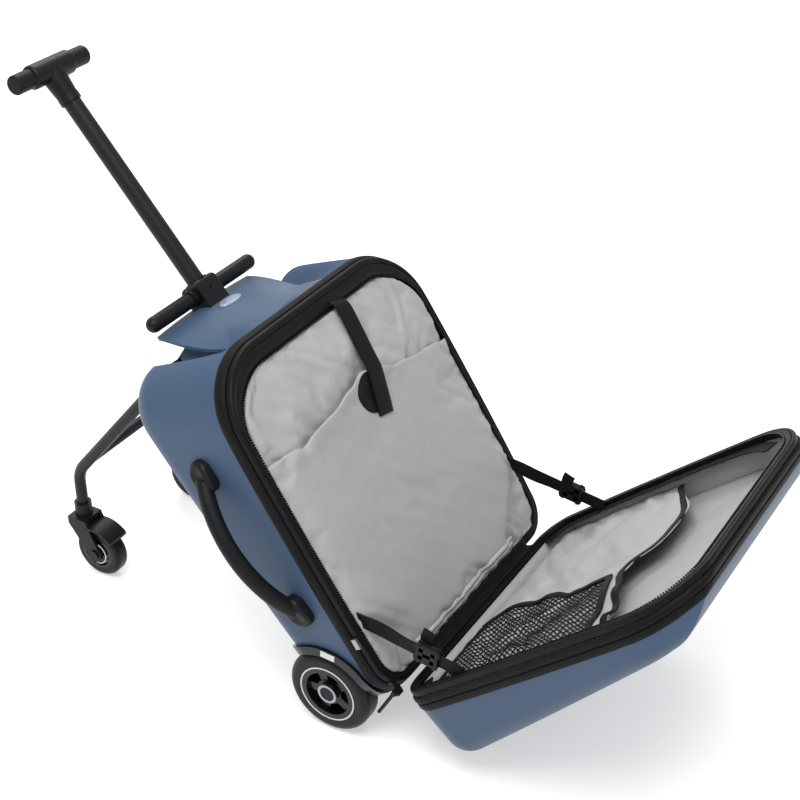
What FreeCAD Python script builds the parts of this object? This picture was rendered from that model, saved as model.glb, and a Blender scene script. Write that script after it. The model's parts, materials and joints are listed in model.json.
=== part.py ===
import FreeCAD
import Part
import functools
import math
import os

# A child's ride-on suitcase on its four wheels, leaned back for riding, with its lid hanging open.
# The case is drawn upright and closed, in its own frame: X from its back to its lid, Y from its left
# side to its right, Z along the tow tube, and the rear axle at the origin. The lid is then opened and
# everything is leaned back. The front frame and its casters are drawn in the floor frame, whose origin
# is on the floor under the middle of the rear axle. Lengths are millimetres, angles are degrees.

V = FreeCAD.Vector
ORIGIN = V(0, 0, 0)
ACROSS = V(0, 1, 0)
SIDES = {"left": -1, "right": 1}

# Stance
LEAN = 40.6
SPLIT_TILT = 7.3
LID_OPEN = 82.0

# Clearances and cutting lengths
FIT = 0.05
CLEAR = 0.3
OVERRUN = 6.0
TOUCH = 0.05
EDGE_SAMPLES = 7

# Case body, from the rear axle
HALF_WIDTH = 183.0
REACH = 4 * HALF_WIDTH
BACK_OFFSET = 15.0
FRONT_OFFSET = 180.0
BOTTOM_OFFSET = 30.0
TOP_AT_BACK = 403.0
TOP_AT_FRONT = 346.5
SIDE_BOW = 5.0
TOP_BACK_CORNER = 52.0
TOP_FRONT_CORNER = 88.0
BOTTOM_CORNER = 38.0
FRONT_EDGE = 26.0
TOP_FRONT_EDGE = 80.0
BACK_EDGE = 30.0
SHELL_WALL = 3.0
HINGE_FORWARD = 82.6
HINGE_DROP = 0.8

# Zip bands and tapes, as depths from the split plane and insets from the outside
ZIP_GAP = 0.6
TAPE_DEPTH = 9.0
CASE_BAND_DEPTH = 21.0
LID_BAND_DEPTH = 25.0
BAND_WALL = 5.0
TAPE_INSET = 1.2
TAPE_INNER = 13.0
LINING_WALL = 1.5

# Divider in the split plane
BOARD_WALL = 3.0
PANEL_INSET = 17.0
PANEL_CROWN = 14.5
PANEL_SHOULDER = 24.0
PANEL_FLAT = 62.0
PANEL_TOP_CORNER = 66.0
PANEL_BOTTOM_CORNER = 30.0
SLIT_WIDTH = 1.6
SLIT_SHARES = ((-1.1, 0.70), (-0.35, 0.715), (0.02, 0.755), (0.35, 0.70), (1.1, 0.66))
STRAP_TOP_SHARES = (0.12, 0.945)
STRAP_END_SHARES = (0.075, 0.605)
STRAP_DROP_SHARE = 0.88
POCKET_STRAP_WIDTH = 32.0
WEBBING = 1.8
PATCH_RADIUS = 23.0
PATCH_SHARES = (0.065, 0.68)
PATCH_WALL = 1.0
PIPING_RADIUS = 2.2
PIPING_HALF = 112.0

# Lid straps and the cloth hinge
LID_STRAP_WIDTH = 16.0
LID_STRAP_FROM_HINGE = 95.0
STRAP_TUCK = 4.2
BUCKLE_LENGTH = 27.0
BUCKLE_WIDTH = 23.0
BUCKLE_WALL = 3.0
BUCKLE_PLACE_SHARE = 0.68
HINGE_HALF = 120.0
HINGE_CLOTH = 0.5
HINGE_FOLD_RADIUS = 0.7

# Lid pockets
POCKET_DEPTH = 18.0
POCKET_WALL = 1.4
POCKET_START = 32.0
POCKET_END = 226.0
POCKET_SEAM = -24.0
POCKET_MARGIN = 16.0
BINDING_WIDTH = 7.0
BINDING_WALL = 3.0
NET_PITCH = 10.0
NET_HOLE = 7.0

# Channels for the rider's legs in the top of the case
CHANNEL_MIDDLE = 94.0
CHANNEL_HALF = 46.0
CHANNEL_DEPTH = 23.0
CHANNEL_RISE = 40.0
CHANNEL_PLACE_SHARES = (-0.18, 0.05, 0.25, 0.45, 0.7)
CHANNEL_DEPTH_SHARES = (0.7, 0.9, 1.0, 0.62, 0.12)
CHANNEL_ACROSS_SHARES = (-1.0, -0.7, -0.3, 0.05, 0.35, 0.68, 1.0)
CHANNEL_SINK_SHARES = (0.0, 0.2, 0.86, 1.0, 0.86, 0.2, 0.0)

# Seat nose on the top of the case
NOSE_BACK = 8.0
NOSE_FRONT = 106.0
NOSE_HALF_WIDTH = 87.0
NOSE_LIFT = 15.0
NOSE_CROWN = 20.0
NOSE_LIP = 5.0
NOSE_PLACE_SHARES = (0.0, 0.25, 0.52, 0.78, 1.0)
NOSE_WIDTH_SHARES = (0.96, 1.0, 0.97, 0.92, 0.9)
NOSE_LIFT_SHARES = (1.0, 0.26, -0.6, -0.9, -0.6)
NOSE_CROWN_SHARES = (0.15, 0.62, 0.95, 0.92, 0.48)
NOSE_LIP_SHARES = (0.9, 0.9, 0.8, 0.36, 0.12)
PEDESTAL_HALF = 44.0
PEDESTAL_FRONT = 45.0

# Tow tube, its guide and its handle
ROD_FORWARD = 4.8
TUBE_RADIUS = 10.5
TUBE_WALL = 1.5
TUBE_BOTTOM = 370.0
TUBE_SHOWS_TO = 681.0
TUBE_SOCKET = 14.0
TOW_TRAVEL = 215.0
GUIDE_WALL = 1.7
GUIDE_SPARE = 13.0
GUIDE_BOTTOM = TUBE_BOTTOM - TOW_TRAVEL - GUIDE_SPARE
FOOT_HEIGHT = 18.0
FOOT_FLOOR = 3.0
FOOT_HALF = 22.0
FOOT_GRIP = 5.0
PLUG_LENGTH = 12.0
NECK_RIM_RADIUS = 12.6
NECK_WAIST_RADIUS = 12.0
NECK_TOP_RADIUS = 15.0
NECK_RIM = 8.0
BAR_HEIGHT = 723.0
HUB_RADIUS = 13.6
HUB_HALF = 32.0
HUB_ROUND = 4.0
CORE_RADIUS = 7.5
GRIP_RADIUS = 11.0
GRIP_END = 57.0
GRIP_CAP = 4.0
GRIP_ROUND = 2.5

# Collar and crossbar on the seat nose
BAR_RADIUS = 9.0
BAR_REACH = 86.0
BAR_ROOT = 24.0
BAR_ROOT_RADIUS = 10.5
CROSSBAR_RISE = 26.0
CROSSBAR_HEIGHT = TOP_AT_BACK + CROSSBAR_RISE
CROSSBAR_FORWARD = 3.0
COLLAR_HALF = 17.0
COLLAR_BACK = 9.0
COLLAR_FRONT = 19.0
COLLAR_BELOW = 21.0
COLLAR_ABOVE = 14.0
COLLAR_BOTTOM = CROSSBAR_HEIGHT - COLLAR_BELOW
COLLAR_TOP = CROSSBAR_HEIGHT + COLLAR_ABOVE
COLLAR_ROUND = 5.0
GUIDE_SINK = 2.0
GUIDE_TOP = COLLAR_BOTTOM - GUIDE_SINK
BUSH_WALL = 1.5
BUSH_FLANGE = 1.0
SCREW_RADIUS = 2.6
SCREW_LENGTH = 2.0
SCREW_SINK = 0.8

# Release button
BUTTON_FORWARD = 32.0
BUTTON_HALF_LENGTH = 17.0
BUTTON_HALF_WIDTH = 9.5
BUTTON_PROUD = 2.5
BUTTON_DEPTH = 6.0
BUTTON_TRAVEL = 3.0
BUTTON_ROUND = 2.0

# Carry handle on the left side
HANDLE_FORWARD = 46.0
HANDLE_TOP = 271.0
HANDLE_BOTTOM = 99.0
HANDLE_CAP_LENGTH = 38.0
HANDLE_CAP_WIDTH = 26.0
HANDLE_CAP_PROUD = 14.0
HANDLE_CAP_ROUND = 5.0
HANDLE_GRIP_RADIUS = 9.0
HANDLE_STAND = 31.0
HANDLE_ROOT_STAND = 5.0

# Rear wheels, axle and wheel arches
WHEEL_RADIUS = 50.0
WHEEL_INNER_FACE = 152.0
WHEEL_OUTER_FACE = 182.0
TYRE_THICKNESS = 17.0
TYRE_ROUND = 9.0
RIM_THICKNESS = 6.0
SPOKES = 5
SPOKE_WIDTH = 10.0
SPOKE_INSET = 5.0
BOSS_RADIUS = 15.0
BEARING_RADIUS = 11.0
BEARING_WIDTH = 7.0
AXLE_RADIUS = 5.0
NUT_RADIUS = 9.0
NUT_LENGTH = 4.0
NUT_ROUND = 1.5
ARCH_RADIUS = 60.0
ARCH_WALL = 2.5
ARCH_INNER_FACE = 146.0
FLANGE_OUTER = 63.0
FLANGE_INNER = 52.5
FLANGE_PROUD = 4.0
REFLECTOR_LENGTH = 17.0
REFLECTOR_WIDTH = 7.0
REFLECTOR_PROUD = 1.2
REFLECTOR_AT = 45.0

# Front frame, in the floor frame
PIVOT_BEHIND = 25.0
PIVOT_HEIGHT = 375.0
PIVOT_PIN_RADIUS = 4.0
LEG_RADIUS = 7.0
LEG_SPREAD = 92.0
EYE_RADIUS = 9.4
EYE_HALF = 7.5
EAR_GAP = 0.4
EAR_WALL = 4.5
EAR_RADIUS = 9.0
PIN_HEAD = 1.5
STEM_BEHIND = 412.0
BEND_HEIGHT = 140.0
BEND_RADIUS = 42.0
STEM_BOTTOM = 79.0
CROSS_TUBE_RADIUS = 6.5
CROSS_TUBE_SHARE = 0.14
SOCKET_WALL = 3.4
SOCKET_LENGTH = 17.0

# Casters
CASTER_RADIUS = 33.0
CASTER_HALF = 10.0
CASTER_TYRE = 11.0
CASTER_ROUND = 6.0
CASTER_TRAIL = 23.0
CASTER_WEB_INSET = 3.0
CASTER_RIM = 3.5
CASTER_BOSS = 8.0
FORK_GAP = 1.5
FORK_WALL = 4.0
FORK_REACH = 13.0
CROWN_WALL = 10.0
FORK_EAR = 10.0
FENDER_GAP = 2.2
FENDER_WALL = 2.5
FENDER_REACH = 27.0
FENDER_DROP = 19.0
STEM_RADIUS = 5.0
STEM_LENGTH = 24.0
BOLT_RADIUS = 4.0
BOLT_HEAD_RADIUS = 6.5
BOLT_HEAD = 2.2

# Zip slider and hanging pull
SLIDER_ALONG = 72.0
SLIDER_TRAVEL = 120.0
SLIDER_LENGTH = 13.0
SLIDER_WALL = 4.0
SLIDER_ROUND = 1.2
SLIDER_SIDE_GAP = 0.8
PULL_PLACE = 165.0
PULL_HALF = 4.5
PULL_PIN_RADIUS = 1.2
PULL_EYE_RADIUS = 2.8
PULL_RADIUS = 2.0
PULL_LENGTH = 37.0
PULL_STOP_DROP = 3.0
PULL_PIVOT_RISE = 2.0
PULL_ANGLE = 21.0

TOP_SLOPE = (TOP_AT_BACK - TOP_AT_FRONT) / (BACK_OFFSET + FRONT_OFFSET)
HINGE = V(HINGE_FORWARD, 0, -BOTTOM_OFFSET - HINGE_DROP)
SPLIT = FreeCAD.Placement(HINGE, FreeCAD.Rotation(ACROSS, SPLIT_TILT))
STAND = FreeCAD.Placement(V(0, 0, WHEEL_RADIUS), FreeCAD.Rotation(ACROSS, -LEAN))
BOARD_FACE = -TAPE_DEPTH + BOARD_WALL + CLEAR


def top_at(forward):
    """Height of the case's flat top at a distance forward of the axle."""
    return TOP_AT_BACK - TOP_SLOPE * (forward + BACK_OFFSET)


def rim_length():
    """Length of the split plane from the hinge to the case's top."""
    tilt = math.radians(SPLIT_TILT)
    rise = top_at(HINGE.x) - HINGE.z
    return rise / (math.cos(tilt) + TOP_SLOPE * math.sin(tilt))


RIM = rim_length()


def prism_y(outline, start, end):
    """A solid with an outline of (x, z) points, from one y to another."""
    wire = Part.makePolygon([V(x, start, z) for x, z in outline + outline[:1]])
    return Part.Face(wire).extrude(V(0, end - start, 0))


def prism_x(outline, start, end):
    """A solid with an outline of (y, z) points, from one x to another."""
    wire = Part.makePolygon([V(start, y, z) for y, z in outline + outline[:1]])
    return Part.Face(wire).extrude(V(end - start, 0, 0))


def block(low, high):
    """A box between two corners."""
    size = V(*high) - V(*low)
    return Part.makeBox(size.x, size.y, size.z, V(*low))


def rod_y(radius, x, z, start, end):
    """A round bar across the case, from the lower of two y values to the higher."""
    low = min(start, end)
    return Part.makeCylinder(radius, abs(end - start), V(x, low, z), ACROSS)


def ring_y(outer, inner, x, z, start, end):
    """A ring across the case."""
    return rod_y(outer, x, z, start, end).cut(rod_y(inner, x, z, start, end))


def rod_z(radius, x, y, bottom, top):
    """A round bar along Z."""
    return Part.makeCylinder(radius, top - bottom, V(x, y, bottom))


def edges_where(shape, test):
    """The edges whose every sampled point passes a test."""
    return [edge for edge in shape.Edges if all(test(p) for p in edge.discretize(Number=EDGE_SAMPLES))]


def rounded(shape, radius, test):
    """A shape with the edges that pass a test rounded."""
    return shape.makeFillet(radius, edges_where(shape, test))


def front_round(inset):
    """What the large round on the top front edge takes off the case at an inset."""
    slope = math.atan(TOP_SLOPE)
    x = FRONT_OFFSET - TOP_FRONT_EDGE
    z = TOP_AT_FRONT - TOP_FRONT_EDGE * math.tan((math.pi / 2 - slope) / 2)
    far = 2 * TOP_FRONT_EDGE
    wedge = [(x, z), (x + far, z), (x + far, z + far), (x + far * math.sin(slope), z + far * math.cos(slope))]
    return prism_y(wedge, -REACH, REACH).cut(rod_y(TOP_FRONT_EDGE + CLEAR - inset, x, z, -REACH, REACH))


@functools.lru_cache(maxsize=None)
def case_form(inset):
    """The closed case as one solid with rounded edges, shrunk by an inset on every side."""
    half = HALF_WIDTH - inset
    edge = half - SIDE_BOW
    back = inset - BACK_OFFSET
    front = FRONT_OFFSET - inset
    bottom = inset - BOTTOM_OFFSET
    drop = inset * math.hypot(1, TOP_SLOPE)
    top_back = top_at(back) - drop
    top_front = top_at(front) - drop
    middle = (bottom + top_back) / 2
    right = Part.Arc(V(back, edge, bottom), V(back, half, middle), V(back, edge, top_back)).toShape()
    top = Part.makeLine(V(back, edge, top_back), V(back, -edge, top_back))
    left = Part.Arc(V(back, -edge, top_back), V(back, -half, middle), V(back, -edge, bottom)).toShape()
    base = Part.makeLine(V(back, -edge, bottom), V(back, edge, bottom))
    bowed = Part.Face(Part.Wire([right, top, left, base])).extrude(V(front - back, 0, 0))
    profile = [(back, bottom), (front, bottom), (front, top_front), (back, top_back)]
    form = bowed.common(prism_y(profile, -half - OVERRUN, half + OVERRUN))
    for side in SIDES.values():
        corner = edges_where(form, lambda p: side * p.y > edge - TOUCH and p.z > top_front - TOUCH)
        radii = [TOP_BACK_CORNER - inset, TOP_FRONT_CORNER - inset]
        if corner[0].valueAt(corner[0].FirstParameter).x > corner[0].CenterOfMass.x:
            radii.reverse()
        form = form.makeFillet(*radii, corner)
    form = rounded(form, BOTTOM_CORNER - inset, lambda p: abs(p.y) > edge - TOUCH and p.z < bottom + TOUCH)
    form = rounded(form, FRONT_EDGE - inset, lambda p: p.x > front - TOUCH)
    form = rounded(form, BACK_EDGE - inset, lambda p: p.x < back + TOUCH)
    return form.cut(front_round(inset))


def side_at(height, inset):
    """Distance from the middle to the case's bowed side at a height, under an inset."""
    bottom = inset - BOTTOM_OFFSET
    top = top_at(inset - BACK_OFFSET) - inset * math.hypot(1, TOP_SLOPE)
    span = (top - bottom) / 2
    radius = (span ** 2 + SIDE_BOW ** 2) / (2 * SIDE_BOW)
    away = height - (top + bottom) / 2
    return HALF_WIDTH - inset - radius + math.sqrt(radius ** 2 - away ** 2)


def in_split(shape):
    """Moves a shape from the split frame, with X through the split and Z up it from the hinge."""
    placed = shape.copy()
    placed.Placement = SPLIT.multiply(shape.Placement)
    return placed


def slab(start, end):
    """All that lies between two depths from the split plane."""
    return in_split(block((start, -REACH, -REACH), (end, REACH, REACH)))


def skin(outer, inner, start, end):
    """A wall of the case between two insets and two depths."""
    cut = slab(start, end)
    return case_form(outer).common(cut).cut(case_form(inner).common(cut))


def opened(shape):
    """Turns a piece of the lid from closed to open."""
    turned = shape.copy()
    turned.rotate(HINGE, ACROSS, LID_OPEN)
    return turned


def leaned(shape):
    """Moves a piece from the case's frame to the floor frame."""
    placed = shape.copy()
    placed.Placement = STAND.multiply(shape.Placement)
    return placed


def floor_point(forward, height):
    """The floor frame's x and z of a point of the case's frame."""
    point = STAND.multVec(V(forward, 0, height))
    return point.x, point.z


def both_sides(make):
    """The left and right copies of a piece, as one group."""
    return Part.makeCompound([make(side) for side in SIDES.values()])


def channel_section(place, depth, sink):
    """One cross-section of a leg channel on the right side: a smooth trough, open above."""
    forward = place * (BACK_OFFSET + FRONT_OFFSET) - BACK_OFFSET
    top = top_at(forward) - sink
    across = [CHANNEL_MIDDLE + CHANNEL_HALF * share for share in CHANNEL_ACROSS_SHARES]
    trough = Part.BSplineCurve()
    trough.interpolate([V(forward, y, top - CHANNEL_DEPTH * depth * share)
                        for y, share in zip(across, CHANNEL_SINK_SHARES)])
    ends = [V(forward, across[-1], top), V(forward, across[-1], top + CHANNEL_RISE)]
    ends += [V(forward, across[0], top + CHANNEL_RISE), V(forward, across[0], top)]
    sides = [Part.makeLine(a, b) for a, b in zip(ends, ends[1:])]
    return Part.Wire([trough.toShape()] + sides)


@functools.lru_cache(maxsize=None)
def case_body(inset):
    """The closed case at an inset, with the two leg channels taken out of its top."""
    table = zip(CHANNEL_PLACE_SHARES, CHANNEL_DEPTH_SHARES)
    channel = Part.makeLoft([channel_section(place, depth, inset) for place, depth in table], True)
    return case_form(inset).cut(channel).cut(channel.mirror(ORIGIN, ACROSS))


def main_shell():
    """The back half of the case, open at the split, with its wheel arches and the tube's hole."""
    shell = case_body(0).cut(case_body(SHELL_WALL)).common(slab(-REACH, -CASE_BAND_DEPTH))
    for side in SIDES.values():
        shell = shell.cut(rod_y(ARCH_RADIUS, 0, 0, side * ARCH_INNER_FACE, side * REACH))
    return shell.cut(rod_z(guide_outer() + CLEAR, ROD_FORWARD, 0, GUIDE_BOTTOM, REACH))


def wheel_arch(side):
    """A moulded tub over a rear wheel, with a flange that follows the outside of the shell."""
    inner = side * ARCH_INNER_FACE
    floor = side * (ARCH_INNER_FACE + ARCH_WALL)
    tub = rod_y(ARCH_RADIUS, 0, 0, inner, side * REACH)
    tub = tub.cut(rod_y(ARCH_RADIUS - ARCH_WALL, 0, 0, floor, side * REACH)).common(case_form(0))
    flange = case_form(-FLANGE_PROUD).cut(case_form(0))
    flange = flange.common(ring_y(FLANGE_OUTER, FLANGE_INNER, 0, 0, inner, side * REACH))
    return tub.fuse(flange).cut(rod_y(AXLE_RADIUS + FIT, 0, 0, inner - side * OVERRUN, floor + side * OVERRUN))


def arch_reflectors():
    """A small reflector on each arch's flange."""
    middle = (FLANGE_OUTER + FLANGE_INNER) / 2
    low = (-REFLECTOR_LENGTH / 2, 0, middle - REFLECTOR_WIDTH / 2)
    plate = block(low, (REFLECTOR_LENGTH / 2, REACH, middle + REFLECTOR_WIDTH / 2))
    plate.rotate(ORIGIN, ACROSS, REFLECTOR_AT)
    raised = case_form(-FLANGE_PROUD - REFLECTOR_PROUD).cut(case_form(-FLANGE_PROUD)).common(plate)
    return Part.makeCompound([raised, raised.mirror(ORIGIN, ACROSS)])


def nose_section(place, width, lift, crown, lip):
    """One cross-section of the seat nose, flat below and crowned above, from its shares."""
    forward = NOSE_FRONT * place - NOSE_BACK * (1 - place)
    half = NOSE_HALF_WIDTH * width
    edge = top_at(forward) + NOSE_LIFT * lift
    under = edge - NOSE_LIP * lip
    peak = V(forward, 0, edge + NOSE_CROWN * crown)
    right, left = V(forward, half, edge), V(forward, -half, edge)
    low_right, low_left = V(forward, half, under), V(forward, -half, under)
    arc = Part.Arc(right, peak, left).toShape()
    sides = [Part.makeLine(a, b) for a, b in ((left, low_left), (low_left, low_right), (low_right, right))]
    return Part.Wire([arc] + sides)


def nose_top(forward):
    """Height of the nose's crest at a distance forward of the axle, between its sections."""
    place = (forward + NOSE_BACK) / (NOSE_FRONT + NOSE_BACK)
    tables = list(zip(NOSE_PLACE_SHARES, NOSE_LIFT_SHARES, NOSE_CROWN_SHARES))
    for (start, lift0, crown0), (end, lift1, crown1) in zip(tables, tables[1:]):
        if start <= place <= end:
            part = (place - start) / (end - start)
            lift = lift0 + part * (lift1 - lift0)
            crown = crown0 + part * (crown1 - crown0)
    return top_at(forward) + NOSE_LIFT * lift + NOSE_CROWN * crown


def button_frame(extra):
    """Where the release button stands: raised by an amount along the slope of the nose."""
    behind = BUTTON_FORWARD - BUTTON_HALF_WIDTH
    ahead = BUTTON_FORWARD + BUTTON_HALF_WIDTH
    fall = math.degrees(math.atan2(nose_top(behind) - nose_top(ahead), ahead - behind))
    turn = FreeCAD.Rotation(ACROSS, fall)
    seat = V(BUTTON_FORWARD, 0, nose_top(BUTTON_FORWARD))
    return FreeCAD.Placement(seat + turn.multVec(V(0, 0, extra)), turn)


def oval(gap, bottom, top):
    """An upright oval prism of the button's outline, widened by a gap."""
    long = BUTTON_HALF_LENGTH + gap
    short = BUTTON_HALF_WIDTH + gap
    outline = Part.Ellipse(V(0, long, bottom), V(-short, 0, bottom), V(0, 0, bottom)).toShape()
    return Part.Face(Part.Wire([outline])).extrude(V(0, 0, top - bottom))


def release_button():
    """The oval push button that frees the tow tube."""
    button = oval(0, -BUTTON_DEPTH, BUTTON_PROUD)
    button = rounded(button, BUTTON_ROUND, lambda p: p.z > BUTTON_PROUD - TOUCH)
    button.Placement = button_frame(0)
    return button


def seat_nose():
    """The raised seat nose, overhanging the shell's shoulders on a narrower pedestal."""
    shares = zip(NOSE_PLACE_SHARES, NOSE_WIDTH_SHARES, NOSE_LIFT_SHARES, NOSE_CROWN_SHARES, NOSE_LIP_SHARES)
    nose = Part.makeLoft([nose_section(*row) for row in shares], True)
    start = -NOSE_BACK + NOSE_LIP
    foot = [(start, top_at(start)), (PEDESTAL_FRONT, top_at(PEDESTAL_FRONT) - NOSE_LIP)]
    head = [(PEDESTAL_FRONT, top_at(PEDESTAL_FRONT)), (start, top_at(start) + NOSE_LIFT)]
    pedestal = prism_y(foot + head, -PEDESTAL_HALF, PEDESTAL_HALF)
    nose = nose.fuse(pedestal).cut(case_body(0)).removeSplitter()
    nose = max(nose.Solids, key=lambda solid: solid.Volume)
    nose = nose.cut(rod_z(guide_outer() + FIT, ROD_FORWARD, 0, GUIDE_BOTTOM, REACH))
    well = oval(CLEAR, -BUTTON_DEPTH - BUTTON_TRAVEL - CLEAR, REACH)
    well.Placement = button_frame(0)
    return nose.cut(well)


def guide_inner():
    """The guide's bore, which clears the tow tube."""
    return TUBE_RADIUS + CLEAR


def guide_outer():
    """The guide's outside radius."""
    return guide_inner() + GUIDE_WALL


def rod_guide():
    """The fixed tube inside the case that the tow tube slides in."""
    outer = rod_z(guide_outer(), ROD_FORWARD, 0, GUIDE_BOTTOM, GUIDE_TOP)
    return outer.cut(rod_z(guide_inner(), ROD_FORWARD, 0, GUIDE_BOTTOM, GUIDE_TOP))


def guide_foot():
    """The bracket on the back wall that holds the guide's lower end and closes its bore."""
    front = ROD_FORWARD + guide_outer() + FOOT_GRIP
    low = (-BACK_OFFSET, -FOOT_HALF, GUIDE_BOTTOM - FOOT_FLOOR)
    foot = block(low, (front, FOOT_HALF, GUIDE_BOTTOM + FOOT_HEIGHT))
    foot = foot.common(case_form(SHELL_WALL))
    return foot.cut(rod_z(guide_outer(), ROD_FORWARD, 0, GUIDE_BOTTOM, GUIDE_TOP))


def collar_solid():
    """The collar's outer block before it is bored."""
    collar = block((-COLLAR_BACK, -COLLAR_HALF, COLLAR_BOTTOM), (COLLAR_FRONT, COLLAR_HALF, COLLAR_TOP))
    collar = rounded(collar, COLLAR_ROUND, lambda p: p.z > COLLAR_BOTTOM + TOUCH)
    return collar


def collar_block(nose):
    """The moulded collar round the tube, seated on the nose, with sockets for the crossbar."""
    collar = collar_solid().cut(nose).cut(release_button())
    collar = collar.cut(rod_z(bush_outer(), ROD_FORWARD, 0, COLLAR_BOTTOM, COLLAR_TOP))
    collar = collar.cut(screw_solid())
    return max(collar.Solids, key=lambda solid: solid.Volume)


def bush_outer():
    """The bush's outside radius."""
    return TUBE_RADIUS + FIT + BUSH_WALL


def rod_bush():
    """The bearing bush in the collar, with a flange on top."""
    bush = rod_z(bush_outer(), ROD_FORWARD, 0, GUIDE_TOP, COLLAR_TOP)
    bush = bush.fuse(rod_z(bush_outer() + BUSH_FLANGE, ROD_FORWARD, 0, COLLAR_TOP, COLLAR_TOP + BUSH_FLANGE))
    return bush.cut(rod_z(TUBE_RADIUS + FIT, ROD_FORWARD, 0, GUIDE_TOP, COLLAR_TOP + BUSH_FLANGE))


def screw_solid():
    """The clamp screw's hole in the collar's front."""
    start = V(COLLAR_FRONT - SCREW_LENGTH, 0, CROSSBAR_HEIGHT)
    return Part.makeCylinder(SCREW_RADIUS, SCREW_LENGTH, start, V(1, 0, 0))


def collar_screw():
    """The clamp screw, its head sunk below the collar's face."""
    sunk = screw_solid()
    sunk.translate(V(-SCREW_SINK, 0, 0))
    return sunk.common(screw_solid())


def crossbar(side):
    """One half of the foot and hand bar, with a thicker root and a rounded end."""
    bar = rod_y(BAR_RADIUS, CROSSBAR_FORWARD, CROSSBAR_HEIGHT, side * COLLAR_HALF, side * BAR_REACH)
    end = Part.makeSphere(BAR_RADIUS, V(CROSSBAR_FORWARD, side * BAR_REACH, CROSSBAR_HEIGHT))
    root = rod_y(BAR_ROOT_RADIUS, CROSSBAR_FORWARD, CROSSBAR_HEIGHT, side * COLLAR_HALF, side * BAR_ROOT)
    return bar.fuse([end, root]).removeSplitter()


def tow_tube():
    """The round tube that pulls out of the case."""
    outer = rod_z(TUBE_RADIUS, ROD_FORWARD, 0, TUBE_BOTTOM, TUBE_SHOWS_TO + TUBE_SOCKET)
    return outer.cut(rod_z(TUBE_RADIUS - TUBE_WALL, ROD_FORWARD, 0, TUBE_BOTTOM, TUBE_SHOWS_TO + TUBE_SOCKET))


def tube_plug():
    """The plug in the tow tube's lower end."""
    return rod_z(TUBE_RADIUS - TUBE_WALL, ROD_FORWARD, 0, TUBE_BOTTOM, TUBE_BOTTOM + PLUG_LENGTH)


def handle_neck():
    """The moulded neck that joins the tube to the crossbar grip."""
    rim_top = TUBE_SHOWS_TO + NECK_RIM
    flare = Part.makeCone(NECK_WAIST_RADIUS, NECK_TOP_RADIUS, BAR_HEIGHT - rim_top, V(ROD_FORWARD, 0, rim_top))
    hub = rod_y(HUB_RADIUS, ROD_FORWARD, BAR_HEIGHT, -HUB_HALF, HUB_HALF)
    hub = rounded(hub, HUB_ROUND, lambda p: abs(p.y) > HUB_HALF - TOUCH)
    neck = rod_z(NECK_RIM_RADIUS, ROD_FORWARD, 0, TUBE_SHOWS_TO, rim_top).fuse([flare, hub])
    neck = neck.cut(rod_z(TUBE_RADIUS, ROD_FORWARD, 0, TUBE_SHOWS_TO, TUBE_SHOWS_TO + TUBE_SOCKET))
    return neck.cut(rod_y(CORE_RADIUS, ROD_FORWARD, BAR_HEIGHT, -HUB_HALF, HUB_HALF))


def handle_core():
    """The bar through the neck that carries both grips."""
    reach = GRIP_END - GRIP_CAP
    return rod_y(CORE_RADIUS, ROD_FORWARD, BAR_HEIGHT, -reach, reach)


def grip(side):
    """A rubber grip pushed over one end of the core."""
    tube = rod_y(GRIP_RADIUS, ROD_FORWARD, BAR_HEIGHT, side * HUB_HALF, side * GRIP_END)
    tube = rounded(tube, GRIP_ROUND, lambda p: abs(p.y) > GRIP_END - TOUCH)
    return tube.cut(handle_core())


def carry_caps():
    """The two end caps of the carry handle, seated on the bowed left side."""
    caps = []
    for height in (HANDLE_TOP, HANDLE_BOTTOM):
        out = side_at(height, 0) + HANDLE_CAP_PROUD
        low = (HANDLE_FORWARD - HANDLE_CAP_WIDTH / 2, -out, height - HANDLE_CAP_LENGTH / 2)
        high = (HANDLE_FORWARD + HANDLE_CAP_WIDTH / 2, -out / 2, height + HANDLE_CAP_LENGTH / 2)
        cap = rounded(block(low, high), HANDLE_CAP_ROUND, lambda p: p.y < -out / 2 - TOUCH)
        caps.append(cap.cut(case_form(0)))
    return Part.makeCompound(caps)


def carry_grip(caps):
    """The soft grip that arches from cap to cap."""
    root = side_at(HANDLE_TOP, 0) + HANDLE_ROOT_STAND
    crest = side_at((HANDLE_TOP + HANDLE_BOTTOM) / 2, 0) + HANDLE_STAND
    start = V(HANDLE_FORWARD, -root, HANDLE_BOTTOM)
    middle = V(HANDLE_FORWARD, -crest, (HANDLE_TOP + HANDLE_BOTTOM) / 2)
    arc = Part.Arc(start, middle, V(HANDLE_FORWARD, -root, HANDLE_TOP))
    path = Part.Wire([arc.toShape()])
    heading = path.Edges[0].tangentAt(arc.FirstParameter)
    circle = Part.Wire([Part.makeCircle(HANDLE_GRIP_RADIUS, start, heading)])
    bow = path.makePipeShell([circle], True, False)
    pieces = bow.cut(caps).cut(case_form(0)).Solids
    return max(pieces, key=lambda solid: solid.Volume)


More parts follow.
